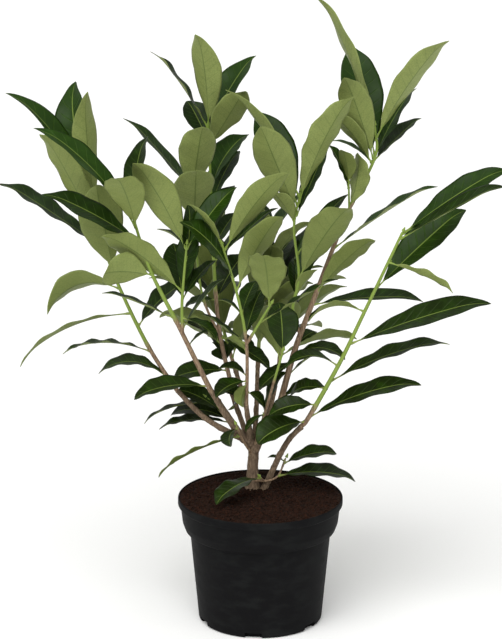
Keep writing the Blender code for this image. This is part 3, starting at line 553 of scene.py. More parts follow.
class Plan:
    """Every limb, twig and leaf of the plant, each leaf set clear of the other masses."""

    def __init__(self):
        self.limbs = {}
        self.stems = {}
        self.leaves = {}
        self.solids = []
        self.blades = {}
        self.random = random.Random(REAR_SEED)
        self.grow_limbs()
        self.grow_stems()
        self.grow_leaves()

    def grow_limbs(self):
        for name, limb in LIMBS.items():
            lead = None
            foot = Vector(limb.foot or (0, 0, 0)) * MM
            if limb.foot is None:
                trunk = self.limbs["trunk"]
                lead = trunk.tangent(len(trunk.points) - 1)
                foot = trunk.points[-1] + lead * GAP
            self.limbs[name] = Stem(foot, limb.runs, limb.radius, limb.tip_radius, lead)
            self.add_solid(name, self.limbs[name], limb_sides(name), root_flare(self.limbs[name]))

    def add_solid(self, owner, stem, sides, flare=0.0):
        self.solids.append((owner, Solid(*tube(stem, sides, swell=CLEAR_LIMB, flare=flare))))

    def grow_stems(self):
        for name, (bough, twigs) in MASSES.items():
            made = []
            for twig in twigs:
                if twig.parent is not None:
                    foot, lead = made[twig.parent].at_height(twig.height)[0], None
                elif bough == "trunk":
                    foot, lead = Vector(twig.height) * MM, None
                else:
                    foot, lead = self.past_tip(bough)
                made.append(Stem(foot, twig.runs, twig.radius, twig.tip_radius, lead))
                self.add_solid(name, made[-1], STEM_SIDES)
            self.stems[name] = made
        for name, rear in REAR_MASSES.items():
            foot, lead = self.past_tip(rear.bough)
            stem = Stem(foot, rear.runs, rear.radius, rear.tip_radius, lead)
            self.stems[name] = [stem]
            self.add_solid(name, stem, STEM_SIDES)

    def past_tip(self, bough):
        limb = self.limbs[bough]
        lead = limb.tangent(len(limb.points) - 1)
        return limb.points[-1] + lead * GAP, lead

    def grow_leaves(self):
        for name, (_, twigs) in MASSES.items():
            self.leaves[name] = []
            for stem, twig in zip(self.stems[name], twigs):
                for leaf in twig.leaves:
                    foot, along = stem.at_height(leaf.height)
                    tries = []
                    for swing in SWINGS:
                        axis = heading(leaf.fan, leaf.tilt + swing)
                        tries.append((axis, upper_side(axis, along, leaf.face)))
                    size = (leaf.length * MM, leaf.width * MM, leaf.arch)
                    self.set_leaf(name, foot, tries, size)
        for name, rear in REAR_MASSES.items():
            self.leaves[name] = []
            self.grow_rear(name, rear)

    def grow_rear(self, name, rear):
        """Leaves in a spiral round the stem, spread wide low down and upright at the tip."""
        stem = self.stems[name][0]
        for i in range(rear.count):
            share = (i + REAR_START) / (rear.count + REAR_START)
            foot, along = stem.at_share(share)
            across = along.cross(Vector((0, 1, 0))).normalized()
            other = along.cross(across)
            spread = math.radians(REAR_SPREAD[0] + (REAR_SPREAD[1] - REAR_SPREAD[0]) * share)
            grown = self.random.uniform(*REAR_LENGTHS)
            tries = []
            for swing in REAR_SWINGS:
                turn = math.radians(rear.turn + swing) + i * GOLDEN_TURN
                out = across * math.cos(turn) + other * math.sin(turn)
                axis = along * math.cos(spread) + out * math.sin(spread)
                tries.append((axis, natural_upper_side(axis, along)))
            size = (rear.length * MM * grown, rear.width * MM * grown, REAR_ARCH)
            self.set_leaf(name, foot, tries, size)

    def set_leaf(self, name, foot, tries, size):
        """Take the first try that is clear of all, or of the other masses, or else none."""
        spare = None
        mine = self.blades.setdefault(name, [])
        for axis, upper in tries:
            whole = Solid(*leaf_solid(foot, axis, upper, *size, CLEAR_WIDTH, CLEAR_THICKNESS))
            if any(whole.meets(other) for owner, other in self.solids if owner != name):
                continue
            outer = Solid(*leaf_solid(foot, axis, upper, *size, start=LEAF_FLOOR))
            if not any(outer.meets(other) for other in mine):
                spare = (axis, upper, whole, outer)
                break
            spare = spare or (axis, upper, whole, outer)
        if spare:
            axis, upper, whole, outer = spare
            self.leaves[name].append((foot, axis, upper, *size))
            self.solids.append((name, whole))
            mine.append(outer)


def srgb(text):
    """Linear colour of an sRGB hex value."""
    parts = [int(text[i:i + 2], 16) / 255 for i in (1, 3, 5)]
    return tuple(c / 12.92 if c <= 0.04045 else ((c + 0.055) / 1.055) ** 2.4
                 for c in parts) + (1.0,)


def add(tree, kind, settings=None, inputs=None):
    """Adds a node with its settings, and its inputs as values or links."""
    made = tree.nodes.new(kind)
    for key, value in (settings or {}).items():
        setattr(made, key, value)
    for key, value in (inputs or {}).items():
        if isinstance(value, bpy.types.NodeSocket):
            tree.links.new(value, made.inputs[key])
        else:
            made.inputs[key].default_value = value
    return made


def maths(tree, operation, *values):
    return add(tree, "ShaderNodeMath", {"operation": operation}, dict(enumerate(values))).outputs[0]


def mixed(tree, share, first, second):
    mix = add(tree, "ShaderNodeMix", {"data_type": "RGBA"}, {0: share, 6: first, 7: second})
    return mix.outputs[2]


def ramp(tree, value, low, high):
    """Value mapped from between low and high to 0 and 1, smoothly."""
    settings = {"interpolation_type": "SMOOTHSTEP"}
    inputs = {"Value": value, "From Min": low, "From Max": high}
    return add(tree, "ShaderNodeMapRange", settings, inputs).outputs["Result"]


def attribute(tree, name):
    return add(tree, "ShaderNodeAttribute", {"attribute_name": name}).outputs["Fac"]


def grain(tree, size, detail=2.0, stretch=(1.0, 1.0, 1.0)):
    """Noise on object coordinates whose features are size metres across."""
    place = add(tree, "ShaderNodeTexCoord").outputs["Object"]
    place = add(tree, "ShaderNodeMapping", None, {"Vector": place, "Scale": stretch}).outputs[0]
    inputs = {"Vector": place, "Scale": 1 / size, "Detail": detail}
    return add(tree, "ShaderNodeTexNoise", None, inputs).outputs["Fac"]


def relief(tree, height, depth, strength=1.0):
    inputs = {"Height": height, "Distance": depth, "Strength": strength}
    return add(tree, "ShaderNodeBump", None, inputs).outputs["Normal"]


def finish(name, ior, roughness):
    """New material with its Principled shader."""
    made = bpy.data.materials.new(name)
    made.use_nodes = True
    shader = made.node_tree.nodes["Principled BSDF"]
    shader.inputs["IOR"].default_value = ior
    shader.inputs["Roughness"].default_value = roughness
    return made, made.node_tree, shader


def join(tree, shader, **sockets):
    for name, value in sockets.items():
        tree.links.new(value, shader.inputs[name.replace("_", " ")])


VEIN_PAIRS = 10.0


def vein_lines(tree):
    """Midrib and side veins from a blade's UV map, each 1 on the line and 0 off it."""
    uv = add(tree, "ShaderNodeUVMap", {"uv_map": "blade"}).outputs["UV"]
    apart = add(tree, "ShaderNodeSeparateXYZ", None, {0: uv})
    along, across = apart.outputs[0], apart.outputs[1]
    out = maths(tree, "ABSOLUTE", maths(tree, "MULTIPLY_ADD", across, 2.0, -1.0))
    midrib = maths(tree, "SUBTRACT", 1.0, ramp(tree, out, 0.012, 0.05))
    run = maths(tree, "MULTIPLY", along, VEIN_PAIRS)
    run = maths(tree, "SUBTRACT", run, maths(tree, "MULTIPLY", out, 1.25))
    run = maths(tree, "ADD", run, maths(tree, "MULTIPLY", across, 0.35))
    near = maths(tree, "ABSOLUTE", maths(tree, "SUBTRACT", maths(tree, "FRACT", run), 0.5))
    fade = maths(tree, "SUBTRACT", 1.0, ramp(tree, out, 0.55, 0.95))
    side = maths(tree, "SUBTRACT", 1.0, ramp(tree, near, 0.0, 0.085))
    return midrib, maths(tree, "MULTIPLY", side, fade), out


def net_veins(tree, size):
    """Finest veins, a net with meshes size metres wide, 1 on the line and 0 off it."""
    place = add(tree, "ShaderNodeTexCoord").outputs["Object"]
    bend = add(tree, "ShaderNodeTexNoise", None, {"Vector": place, "Scale": 0.5 / size}).outputs[1]
    place = add(tree, "ShaderNodeVectorMath", {"operation": "MULTIPLY_ADD"},
                {0: bend, 1: (size, size, size), 2: place}).outputs[0]
    net = add(tree, "ShaderNodeTexVoronoi", {"feature": "DISTANCE_TO_EDGE"},
              {"Vector": place, "Scale": 1 / size}).outputs["Distance"]
    return maths(tree, "SUBTRACT", 1.0, ramp(tree, net, 0.02, 0.12))


def leaf_upper():
    """Upper skin of a laurel leaf: thick waxy cuticle, so dark, smooth and glossy with sunk veins."""
    made, tree, shader = finish("waxy_laurel_leaf_upper_skin", 1.45, 0.34)
    shader.inputs["Specular IOR Level"].default_value = 0.16
    midrib, side, _ = vein_lines(tree)
    age_and_shade, tone = attribute(tree, "age_and_shade"), attribute(tree, "tone")
    # Lower leaves are a little darker and duller: partly the colour of older leaves, partly painted shade under
    # the leaves above
    colour = mixed(tree, age_and_shade, srgb("#1f3807"), srgb("#202e0c"))
    colour = mixed(tree, maths(tree, "MULTIPLY", tone, 0.8), colour, srgb("#101a03"))
    patch = ramp(tree, grain(tree, 0.016, 3.0), 0.40, 0.80)
    colour = mixed(tree, maths(tree, "MULTIPLY", patch, 0.30), colour, srgb("#34560e"))
    colour = mixed(tree, maths(tree, "MULTIPLY", side, 0.16), colour, srgb("#4f6c20"))
    colour = mixed(tree, maths(tree, "MULTIPLY", midrib, 0.65), colour, srgb("#7f9440"))
    # Areoles 1.5 mm wide make the skin faintly leathery
    sunk = maths(tree, "MULTIPLY", maths(tree, "MAXIMUM", side, midrib), -1.0)
    fine = maths(tree, "MULTIPLY", grain(tree, 0.0015), 0.20)
    rough = maths(tree, "MULTIPLY_ADD", grain(tree, 0.010), 0.18, 0.27)
    join(tree, shader, Base_Color=colour, Roughness=rough,
         Normal=relief(tree, maths(tree, "ADD", sunk, fine), 0.0004, 0.7))
    return made


def leaf_under():
    """Underside of a laurel leaf: matt pale olive green, a raised midrib and a net of veins."""
    made, tree, shader = finish("matt_laurel_leaf_underside", 1.45, 0.58)
    shader.inputs["Specular IOR Level"].default_value = 0.35
    midrib, side, out = vein_lines(tree)
    age_and_shade, tone = attribute(tree, "age_and_shade"), attribute(tree, "tone")
    # Lower undersides are much darker: partly the colour of older leaves, partly painted shade under the leaves
    # above
    colour = mixed(tree, age_and_shade, srgb("#8d9956"), srgb("#57642a"))
    colour = mixed(tree, maths(tree, "MULTIPLY", tone, 0.6), colour, srgb("#727d3c"))
    patch = ramp(tree, grain(tree, 0.012, 3.0), 0.3, 0.8)
    colour = mixed(tree, maths(tree, "MULTIPLY", patch, 0.35), colour, srgb("#7c8648"))
    net = net_veins(tree, 0.0030)
    colour = mixed(tree, maths(tree, "MULTIPLY", net, 0.30), colour, srgb("#4f632c"))
    colour = mixed(tree, maths(tree, "MULTIPLY", side, 0.30), colour, srgb("#556a31"))
    # The midrib line is darker: partly its own colour, partly painted shade cast by the raised rib
    colour = mixed(tree, maths(tree, "MULTIPLY", midrib, 0.70), colour, srgb("#4e622b"))
    # Painted glow: the margin is lighter, standing in for light that shines through the thin edge of the blade
    painted_glow_edge = ramp(tree, out, 0.93, 1.0)
    colour = mixed(tree, maths(tree, "MULTIPLY", painted_glow_edge, 0.35), colour, srgb("#95a465"))
    raised = maths(tree, "ADD", maths(tree, "MULTIPLY", side, 0.6), grain(tree, 0.0013))
    join(tree, shader, Base_Color=colour, Normal=relief(tree, raised, 0.0003, 0.5))
    return made


def shoot_skin():
    """Skin of this year's shoots: smooth green that turns to thin tan bark lower down."""
    made, tree, shader = finish("green_laurel_shoot_skin", 1.45, 0.5)
    shader.inputs["Specular IOR Level"].default_value = 0.4
    wood = attribute(tree, "wood")
    streak = grain(tree, 0.0016, 2.0, (1.0, 1.0, 0.12))
    green = mixed(tree, streak, srgb("#6d8531"), srgb("#869a44"))
    brown = mixed(tree, ramp(tree, streak, 0.35, 0.65), srgb("#6e5743"), srgb("#947d63"))
    # Lenticels about 1 mm long dot the brown part
    spot = add(tree, "ShaderNodeTexVoronoi", None,
               {"Vector": add(tree, "ShaderNodeTexCoord").outputs["Object"], "Scale": 260.0})
    dots = maths(tree, "SUBTRACT", 1.0, ramp(tree, spot.outputs["Distance"], 0.12, 0.3))
    brown = mixed(tree, maths(tree, "MULTIPLY", dots, 0.4), brown, srgb("#4f3f31"))
    colour = mixed(tree, wood, green, brown)
    height = maths(tree, "MULTIPLY", streak, wood)
    join(tree, shader, Base_Color=colour, Normal=relief(tree, height, 0.0004, 0.7))
    return made


def laurel_bark():
    """Bark of the older wood: thin, grey-brown, roughened by shallow cracks and lenticels."""
    made, tree, shader = finish("grey_brown_laurel_bark", 1.45, 0.85)
    shader.inputs["Specular IOR Level"].default_value = 0.3
    streak = grain(tree, 0.0024, 4.0, (1.0, 1.0, 0.35))
    blotch = ramp(tree, grain(tree, 0.012, 3.0), 0.35, 0.7)
    colour = mixed(tree, ramp(tree, streak, 0.30, 0.70), srgb("#574738"), srgb("#8a7660"))
    colour = mixed(tree, maths(tree, "MULTIPLY", blotch, 0.55), colour, srgb("#5f4f41"))
    spot = add(tree, "ShaderNodeTexVoronoi", None,
               {"Vector": add(tree, "ShaderNodeTexCoord").outputs["Object"], "Scale": 300.0})
    dots = maths(tree, "SUBTRACT", 1.0, ramp(tree, spot.outputs["Distance"], 0.1, 0.28))
    colour = mixed(tree, maths(tree, "MULTIPLY", dots, 0.35), colour, srgb("#a08c72"))
    join(tree, shader, Base_Color=colour, Normal=relief(tree, streak, 0.0006, 0.7))
    return made


def pot_plastic():
    """Injection-moulded polypropylene with carbon black: matt, slightly scuffed and dusty."""
    made, tree, shader = finish("moulded_black_polypropylene", 1.49, 0.58)
    shader.inputs["Specular IOR Level"].default_value = 0.04
    scuff = ramp(tree, grain(tree, 0.030, 5.0, (1.0, 1.0, 2.4)), 0.42, 0.72)
    colour = mixed(tree, scuff, srgb("#111112"), srgb("#191a1a"))
    dust = ramp(tree, grain(tree, 0.004, 4.0), 0.55, 0.85)
    colour = mixed(tree, maths(tree, "MULTIPLY", dust, 0.25), colour, srgb("#1f1d1b"))
    rough = maths(tree, "MULTIPLY_ADD", scuff, 0.12, 0.56)
    # Mould grain 0.6 mm wide, and shallow sink marks 25 mm wide
    height = maths(tree, "ADD", maths(tree, "MULTIPLY", grain(tree, 0.0006), 0.12),
                   grain(tree, 0.025, 1.0, (1.0, 1.0, 2.0)))
    join(tree, shader, Base_Color=colour, Roughness=rough, Normal=relief(tree, height, 0.0011, 0.5))
    return made


def damp_peat():
    """Damp milled peat: dull dark red-brown, lighter where crumbs have dried."""
    made, tree, shader = finish("damp_milled_peat", 1.4, 0.95)
    shader.inputs["Specular IOR Level"].default_value = 0.25
    crumbs = grain(tree, 0.0032, 4.0)
    colour = mixed(tree, ramp(tree, crumbs, 0.35, 0.7), srgb("#150903"), srgb("#30180c"))
    broad = ramp(tree, grain(tree, 0.014, 2.0), 0.35, 0.7)
    colour = mixed(tree, maths(tree, "MULTIPLY", broad, 0.5), colour, srgb("#201007"))
    dry = ramp(tree, grain(tree, 0.0012, 2.0), 0.64, 0.8)
    colour = mixed(tree, maths(tree, "MULTIPLY", dry, 0.4), colour, srgb("#573120"))
    join(tree, shader, Base_Color=colour, Normal=relief(tree, crumbs, 0.0022))
    return made


def floor_paper():
    """Matt white paper sweep."""
    made, tree, shader = finish("matt_white_paper", 1.45, 0.9)
    weave = grain(tree, 0.004, 2.0)
    join(tree, shader, Base_Color=mixed(tree, weave, srgb("#f7f7f5"), srgb("#fbfbfa")))
    return made


def placed(name, mesh):
    item = bpy.data.objects.new(name, mesh)
    bpy.context.scene.collection.objects.link(item)
    return item


def dress(item, slot, *nodes):
    """Makes a piece ride with the frame and stand for its nodes; its slot is not used."""
    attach(item, "root")
    if nodes:
        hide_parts(*nodes)
    return item


def outward(mesh):
    """Turns every face of a closed mesh to point outwards."""
    shell = bmesh.new()
    shell.from_mesh(mesh)
    bmesh.ops.recalc_face_normals(shell, faces=shell.faces)
    shell.to_mesh(mesh)
    shell.free()


def plain_mesh(item):
    """Puts an object's evaluated shape in place of its modifiers."""
    depsgraph = bpy.context.evaluated_depsgraph_get()
    mesh = bpy.data.meshes.new_from_object(item.evaluated_get(depsgraph))
    item.modifiers.clear()
    old = item.data
    item.data = mesh
    bpy.data.meshes.remove(old)
    mesh.name = item.name
    return item


def grow(name, mesh, tree, **values):
    """Object whose geometry nodes have run on a mesh and been made plain."""
    item = placed(name, mesh)
    modifier = item.modifiers.new("grow", "NODES")
    modifier.node_group = tree
    sockets = {s.name: s.identifier for s in tree.interface.items_tree if s.in_out == "INPUT"}
    for key, value in values.items():
        modifier[sockets[key.replace("_", " ")]] = value
    return plain_mesh(item)


def new_tree(name, **inputs):
    """Geometry node tree with its named inputs, and its input and output nodes."""
    tree = bpy.data.node_groups.new(name, "GeometryNodeTree")
    tree.interface.new_socket("Geometry", in_out="INPUT", socket_type="NodeSocketGeometry")
    for key, kind in inputs.items():
        tree.interface.new_socket(key.replace("_", " "), in_out="INPUT",
                                  socket_type="NodeSocket" + kind)
    tree.interface.new_socket("Geometry", in_out="OUTPUT", socket_type="NodeSocketGeometry")
    return tree, add(tree, "NodeGroupInput").outputs


def end_tree(tree, geometry, skin):
    whole = add(tree, "GeometryNodeRealizeInstances", None, {0: geometry}).outputs[0]
    painted = add(tree, "GeometryNodeSetMaterial", None, {"Geometry": whole, "Material": skin})
    add(tree, "NodeGroupOutput", None, {0: painted.outputs[0]})
    return tree


def field(tree, name, kind="FLOAT"):
    made = add(tree, "GeometryNodeInputNamedAttribute", {"data_type": kind}, {"Name": name})
    return made.outputs["Attribute"]


def twig_tree():
    """Round skin along every path of a mesh, as thick as its points say."""
    tree, given = new_tree("twig_skin", Sides="Int", Skin="Material")
    paths = add(tree, "GeometryNodeMeshToCurve", None, {0: given["Geometry"]}).outputs[0]
    sized = add(tree, "GeometryNodeSetCurveRadius", None,
                {"Curve": paths, "Radius": field(tree, "thickness")}).outputs[0]
    ring = add(tree, "GeometryNodeCurvePrimitiveCircle", None,
               {"Resolution": given["Sides"], "Radius": 1.0}).outputs[0]
    skin = add(tree, "GeometryNodeCurveToMesh", None,
               {"Curve": sized, "Profile Curve": ring, "Fill Caps": True})
    if "Scale" in skin.inputs:
        tree.links.new(field(tree, "thickness"), skin.inputs["Scale"])
    smooth = add(tree, "GeometryNodeSetShadeSmooth", None, {0: skin.outputs[0]}).outputs[0]
    return end_tree(tree, smooth, given["Skin"])


def bud_tree():
    """Pointed bud on every point, along its aim."""
    tree, given = new_tree("buds", Bud_Skin="Material")
    cone = add(tree, "GeometryNodeMeshCone", None,
               {"Vertices": 7, "Side Segments": 3, "Radius Top": 0.08, "Radius Bottom": 0.42,
                "Depth": 1.0}).outputs[0]
    turn = add(tree, "FunctionNodeAlignRotationToVector", {"axis": "Z"},
               {"Vector": field(tree, "aim", "FLOAT_VECTOR")}).outputs[0]
    placed_buds = add(tree, "GeometryNodeInstanceOnPoints", None,
                      {"Points": given["Geometry"], "Instance": cone, "Rotation": turn,
                       "Scale": field(tree, "bud_size")}).outputs[0]
    return end_tree(tree, placed_buds, given["Bud Skin"])


def crumb_tree():
    """Crumbs strewn over a surface, each its own size and turn."""
    tree, given = new_tree("peat_crumbs", Density="Float", Smallest="Float", Largest="Float",
                           Seed="Int", Skin="Material")
    strewn = add(tree, "GeometryNodeDistributePointsOnFaces", None,
                 {"Mesh": given["Geometry"], "Density": given["Density"], "Seed": given["Seed"]})
    crumb = add(tree, "GeometryNodeMeshIcoSphere", None, {"Radius": 1.0, "Subdivisions": 1})
    size = add(tree, "FunctionNodeRandomValue", {"data_type": "FLOAT"},
               {"Min": 0.0, "Max": 1.0, "Seed": given["Seed"]}).outputs[1]
    size = add(tree, "ShaderNodeMath", {"operation": "POWER"}, {0: size, 1: 3.0}).outputs[0]
    spread = add(tree, "ShaderNodeMath", {"operation": "SUBTRACT"},
                 {0: given["Largest"], 1: given["Smallest"]}).outputs[0]
    size = add(tree, "ShaderNodeMath", {"operation": "MULTIPLY_ADD"},
               {0: size, 1: spread, 2: given["Smallest"]}).outputs[0]
    squash = add(tree, "ShaderNodeVectorMath", {"operation": "SCALE"},
                 {0: (1.0, 1.35, 0.75), "Scale": size}).outputs[0]
    turn = add(tree, "FunctionNodeRandomValue", {"data_type": "FLOAT_VECTOR"},
               {"Min": (0, 0, 0), "Max": (6.28, 6.28, 6.28), "Seed": given["Seed"]}).outputs[0]
    laid = add(tree, "GeometryNodeInstanceOnPoints", None,
               {"Points": strewn.outputs[0], "Instance": crumb.outputs[0], "Rotation": turn,
                "Scale": squash}).outputs[0]
    return end_tree(tree, laid, given["Skin"])


def fibre_tree():
    """Short straws strewn over a surface, lying nearly flat."""
    tree, given = new_tree("peat_fibres", Density="Float", Length="Float", Seed="Int",
                           Skin="Material")
    strewn = add(tree, "GeometryNodeDistributePointsOnFaces", None,
                 {"Mesh": given["Geometry"], "Density": given["Density"], "Seed": given["Seed"]})
    straw = add(tree, "GeometryNodeMeshCylinder", None,
                {"Vertices": 4, "Radius": 0.00022, "Depth": given["Length"]}).outputs[0]
    turn = add(tree, "FunctionNodeRandomValue", {"data_type": "FLOAT_VECTOR"},
               {"Min": (1.25, 0, 0), "Max": (1.75, 0.3, 6.28), "Seed": given["Seed"]}).outputs[0]
    size = add(tree, "FunctionNodeRandomValue", {"data_type": "FLOAT"},
               {"Min": 0.3, "Max": 1.0, "Seed": given["Seed"]}).outputs[1]
    laid = add(tree, "GeometryNodeInstanceOnPoints", None,
               {"Points": strewn.outputs[0], "Instance": straw, "Rotation": turn,
                "Scale": size}).outputs[0]
    return end_tree(tree, laid, given["Skin"])


def paths_mesh(name, paths):
    """Mesh of open paths with a thickness and a wood share at every point."""
    points, edges, thickness, wood = [], [], [], []
    for line in paths:
        first = len(points)
        for i, (point, radius, brown) in enumerate(line):
            points.append(tuple(point))
            thickness.append(radius)
            wood.append(brown)
            if i:
                edges.append((first + i - 1, first + i))
    mesh = bpy.data.meshes.new(name)
    mesh.from_pydata(points, edges, [])
    for key, values in (("thickness", thickness), ("wood", wood)):
        mesh.attributes.new(key, "FLOAT", "POINT").data.foreach_set("value", values)
    return mesh


def smooth_step(value, low, high):
    share = min(1.0, max(0.0, (value - low) / (high - low)))
    return share * share * (3 - 2 * share)


def fine_stem(stem, runs, pace):
    """The same centre line with closer points."""
    return Stem(stem.points[0], runs, stem.radii[0] / MM, stem.radii[-1] / MM, stem.lead, pace)


def twig_path(stem, runs, green_from, inside):
    """Points of a twig with its thickness, its brown part and the scar ring where it turns green."""
    fine = fine_stem(stem, runs, TWIG_PACE)
    line = []
    start = fine.points[0] - fine.tangent(0) * inside
    if inside:
        line.append((start, fine.radii[0], 1.0))
    for i, (point, radius) in enumerate(zip(fine.points, fine.radii)):
        brown = 1 - smooth_step(point.z, green_from * MM - 0.006, green_from * MM + 0.010)
        ring = math.exp(-((point.z - green_from * MM) / 0.004) ** 2)
        line.append((point, radius + 0.0005 * ring, max(brown, 0.9 * ring)))
    tip, along = fine.points[-1], fine.tangent(len(fine.points) - 1)
    radius, brown = fine.radii[-1], line[-1][2]
    for reach, share in ((0.0012, 1.05), (0.003, 0.95), (0.005, 0.55), (0.0062, 0.15)):
        line.append((tip + along * reach, radius * share, brown))
    return line


def spine(leaf, share):
    """Point, direction and upper side of a leaf's midrib at a share of its length."""
    foot, axis, upper, length, _, arch = leaf
    lift = 4 * arch * share * (1 - share) - LEAF_TAIL * leaf_tail(share)
    slope = 4 * arch * (1 - 2 * share)
    if share > LEAF_TAIL_START:
        slope -= 2 * LEAF_TAIL * (share - LEAF_TAIL_START) / (1 - LEAF_TAIL_START) ** 2
    along = (axis + upper * slope).normalized()
    above = (upper - upper.dot(along) * along).normalized()
    return foot + axis * (length * share) + upper * (length * lift), along, above


def leaf_age(leaf):
    """0 for the youngest leaves, high on the shoots, and 1 for the oldest, near the ground."""
    return 1 - smooth_step(leaf[0].z, 0.30, 0.60)


def stalk_path(leaf):
    """Leaf stalk, swollen where it leaves the stem, that runs on under the foot of the blade."""
    line = []
    brown = 0.30 * leaf_age(leaf)
    for i in range(STALK_STEPS + 1):
        t = i / STALK_STEPS
        point, _, above = spine(leaf, 1.7 * PETIOLE * t)
        radius = 0.00105 + 0.0009 * math.exp(-((t - 0.16) / 0.14) ** 2) - 0.0006 * t ** 4
        line.append((point - above * (0.0006 * t * t), radius, brown))
    return line


def blade_half_width(u, blunt):
    """Half width of a blade as a share of its greatest, drawn out at the tip unless blunt."""
    if not 0 < u < 1:
        return 0.0
    drawn = (0.30 - 0.30 * blunt) * smooth_step(u, 0.78, 0.99)
    return math.sin(math.pi * u ** (LEAF_WIDEST + 0.10 * blunt)) ** (LEAF_FULLNESS - 0.18 * blunt) * (1 - drawn)


class Blades:
    """Closed thin blades of one mass, gathered into one mesh."""

    def __init__(self, seed):
        self.random = random.Random(seed)
        self.points = []
        self.faces = []
        self.skins = []
        self.sheet = []
        self.tones = []
        self.age_and_shade_values = []

    def grow(self, leaf):
        pick = self.random.uniform
        length, width = leaf[3], leaf[4]
        small = min(1.0, length / 0.12)
        fold = LEAF_FOLD * pick(0.65, 1.1)
        wave, turns = pick(0.0006, 0.0020) * small, pick(2.4, 4.2)
        phase, shift = pick(0, 2 * math.pi), pick(1.2, 2.6)
        twist, sweep = pick(-0.22, 0.22), pick(-0.035, 0.035)
        bite, tone, blunt = pick(0, 2 * math.pi), pick(0.0, 1.0), pick(0.0, 0.5)
        age_and_shade = leaf_age(leaf)
        blunt += 0.5 * age_and_shade
        base = len(self.points)
        columns = len(BLADE_COLUMNS)
        upper_rows, under_rows = [], []
        for i in range(BLADE_ROWS + 1):
            t = i / BLADE_ROWS
            u = 0.55 * t + 0.45 * (1 - math.cos(math.pi * t)) / 2
            share = PETIOLE + (1 - PETIOLE) * u
            middle, along, above = spine(leaf, share)
            side = along.cross(above)
            roll = twist * (share - 0.3)
            side, above = (side * math.cos(roll) + above * math.sin(roll),
                           above * math.cos(roll) - side * math.sin(roll))
            middle = middle + side * (length * sweep * max(0.0, share - 0.3) ** 2)
            half = max(blade_half_width(u, blunt) * width / 2, 0.0011 if u < 0.5 else 0.0003)
            half *= 1 + 0.012 * math.sin(34 * u + bite)
            rows = ([], [])
            for s in BLADE_COLUMNS:
                out = abs(s)
                ripple = wave * out ** 2 * math.sin(turns * 2 * math.pi * u + phase + (s > 0) * shift)
                lift = fold * half * out ** 1.35 + ripple * min(1.0, half / 0.008)
                if out < 1.0:
                    thick = BLADE_THICKNESS / 2 * (1 - out ** 4)
                    rib = RIB_DEPTH * (1 - 0.85 * u) if s == 0.0 else 0.0
                    heights = (thick - 0.4 * rib, -thick - rib)
                else:
                    heights = (0.0,)
                for row, height in zip(rows, heights):
                    row.append(len(self.points))
                    self.points.append(middle + side * (half * s) + above * (lift + height))
                    self.sheet.append((u, (s + 1) / 2))
                if out == 1.0:
                    rows[1].append(rows[0][-1])
            upper_rows.append(rows[0])
            under_rows.append(rows[1])
        count = len(self.points) - base
        self.tones += [tone] * count
        self.age_and_shade_values += [age_and_shade] * count
        for i in range(BLADE_ROWS):
            for k in range(columns - 1):
                a, b = upper_rows[i], upper_rows[i + 1]
                self.faces.append((a[k], a[k + 1], b[k + 1], b[k]))
                self.skins.append(0)
                a, b = under_rows[i], under_rows[i + 1]
                self.faces.append((a[k], b[k], b[k + 1], a[k + 1]))
                self.skins.append(1)
        for i, flip in ((0, False), (BLADE_ROWS, True)):
            loop = upper_rows[i] + under_rows[i][-2:0:-1]
            self.faces.append(tuple(loop if flip else reversed(loop)))
            self.skins.append(1)

    def mesh(self, name, skins):
        mesh = bpy.data.meshes.new(name)
        mesh.from_pydata([tuple(p) for p in self.points], [], self.faces)
        for skin in skins:
            mesh.materials.append(skin)
        mesh.polygons.foreach_set("material_index", self.skins)
        layer = mesh.uv_layers.new(name="blade")
        corners = np.empty(len(mesh.loops), dtype=np.int32)
        mesh.loops.foreach_get("vertex_index", corners)
        layer.data.foreach_set("uv", np.array(self.sheet, dtype=np.float32)[corners].ravel())
        for key, values in (("tone", self.tones), ("age_and_shade", self.age_and_shade_values)):
            mesh.attributes.new(key, "FLOAT", "POINT").data.foreach_set("value", values)
        mesh.shade_smooth()
        return mesh


def buds_mesh(name, plan):
    """One point for a bud in every leaf's axil and at every twig's tip."""
    points, aims, sizes = [], [], []
    for leaf in plan.leaves[name]:
        foot, axis, upper, length = leaf[:4]
        aim = (axis * 0.45 + upper).normalized()
        points.append(foot + axis * (0.026 * length) + upper * BUD_REACH)
        aims.append(aim)
        sizes.append(0.0026 if length > 0.08 else 0.0018)
    for stem in plan.stems[name]:
        along = stem.tangent(len(stem.points) - 1)
        points.append(stem.points[-1] + along * 0.006)
        aims.append(along)
        sizes.append(0.0060)
    mesh = bpy.data.meshes.new(name)
    mesh.from_pydata([tuple(p) for p in points], [], [])
    aim = mesh.attributes.new("aim", "FLOAT_VECTOR", "POINT")
    aim.data.foreach_set("vector", [c for a in aims for c in a])
    mesh.attributes.new("bud_size", "FLOAT", "POINT").data.foreach_set("value", sizes)
    return mesh


def stem_runs(name, index):
    if name in REAR_MASSES:
        return REAR_MASSES[name].runs
    return MASSES[name][1][index].runs


def mass_pieces(name, number, plan, trees, skins):
    """Blades, twigs and buds of one mass of leaves."""
    short = name.replace("leaves_", "")
    blades = Blades(100 + number)
    paths = []
    for i, stem in enumerate(plan.stems[name]):
        inside = OVERLAP if i == 0 else 0.0
        paths.append(twig_path(stem, stem_runs(name, i), GREEN_FROM[name][i], inside))
    for leaf in plan.leaves[name]:
        blades.grow(leaf)
        paths.append(stalk_path(leaf))
    dress(placed("blades_" + short, blades.mesh("blades_" + short, skins["blade"])), "leaf", name)
    twigs = grow("twigs_" + short, paths_mesh("twigs_" + short, paths), trees["twig"],
                 Sides=TWIG_SIDES, Skin=skins["shoot"])
    outward(twigs.data)
    dress(twigs, "leaf", name)
    buds = grow("buds_" + short, buds_mesh(name, plan), trees["bud"], Bud_Skin=skins["shoot"])
    dress(buds, "leaf", name)


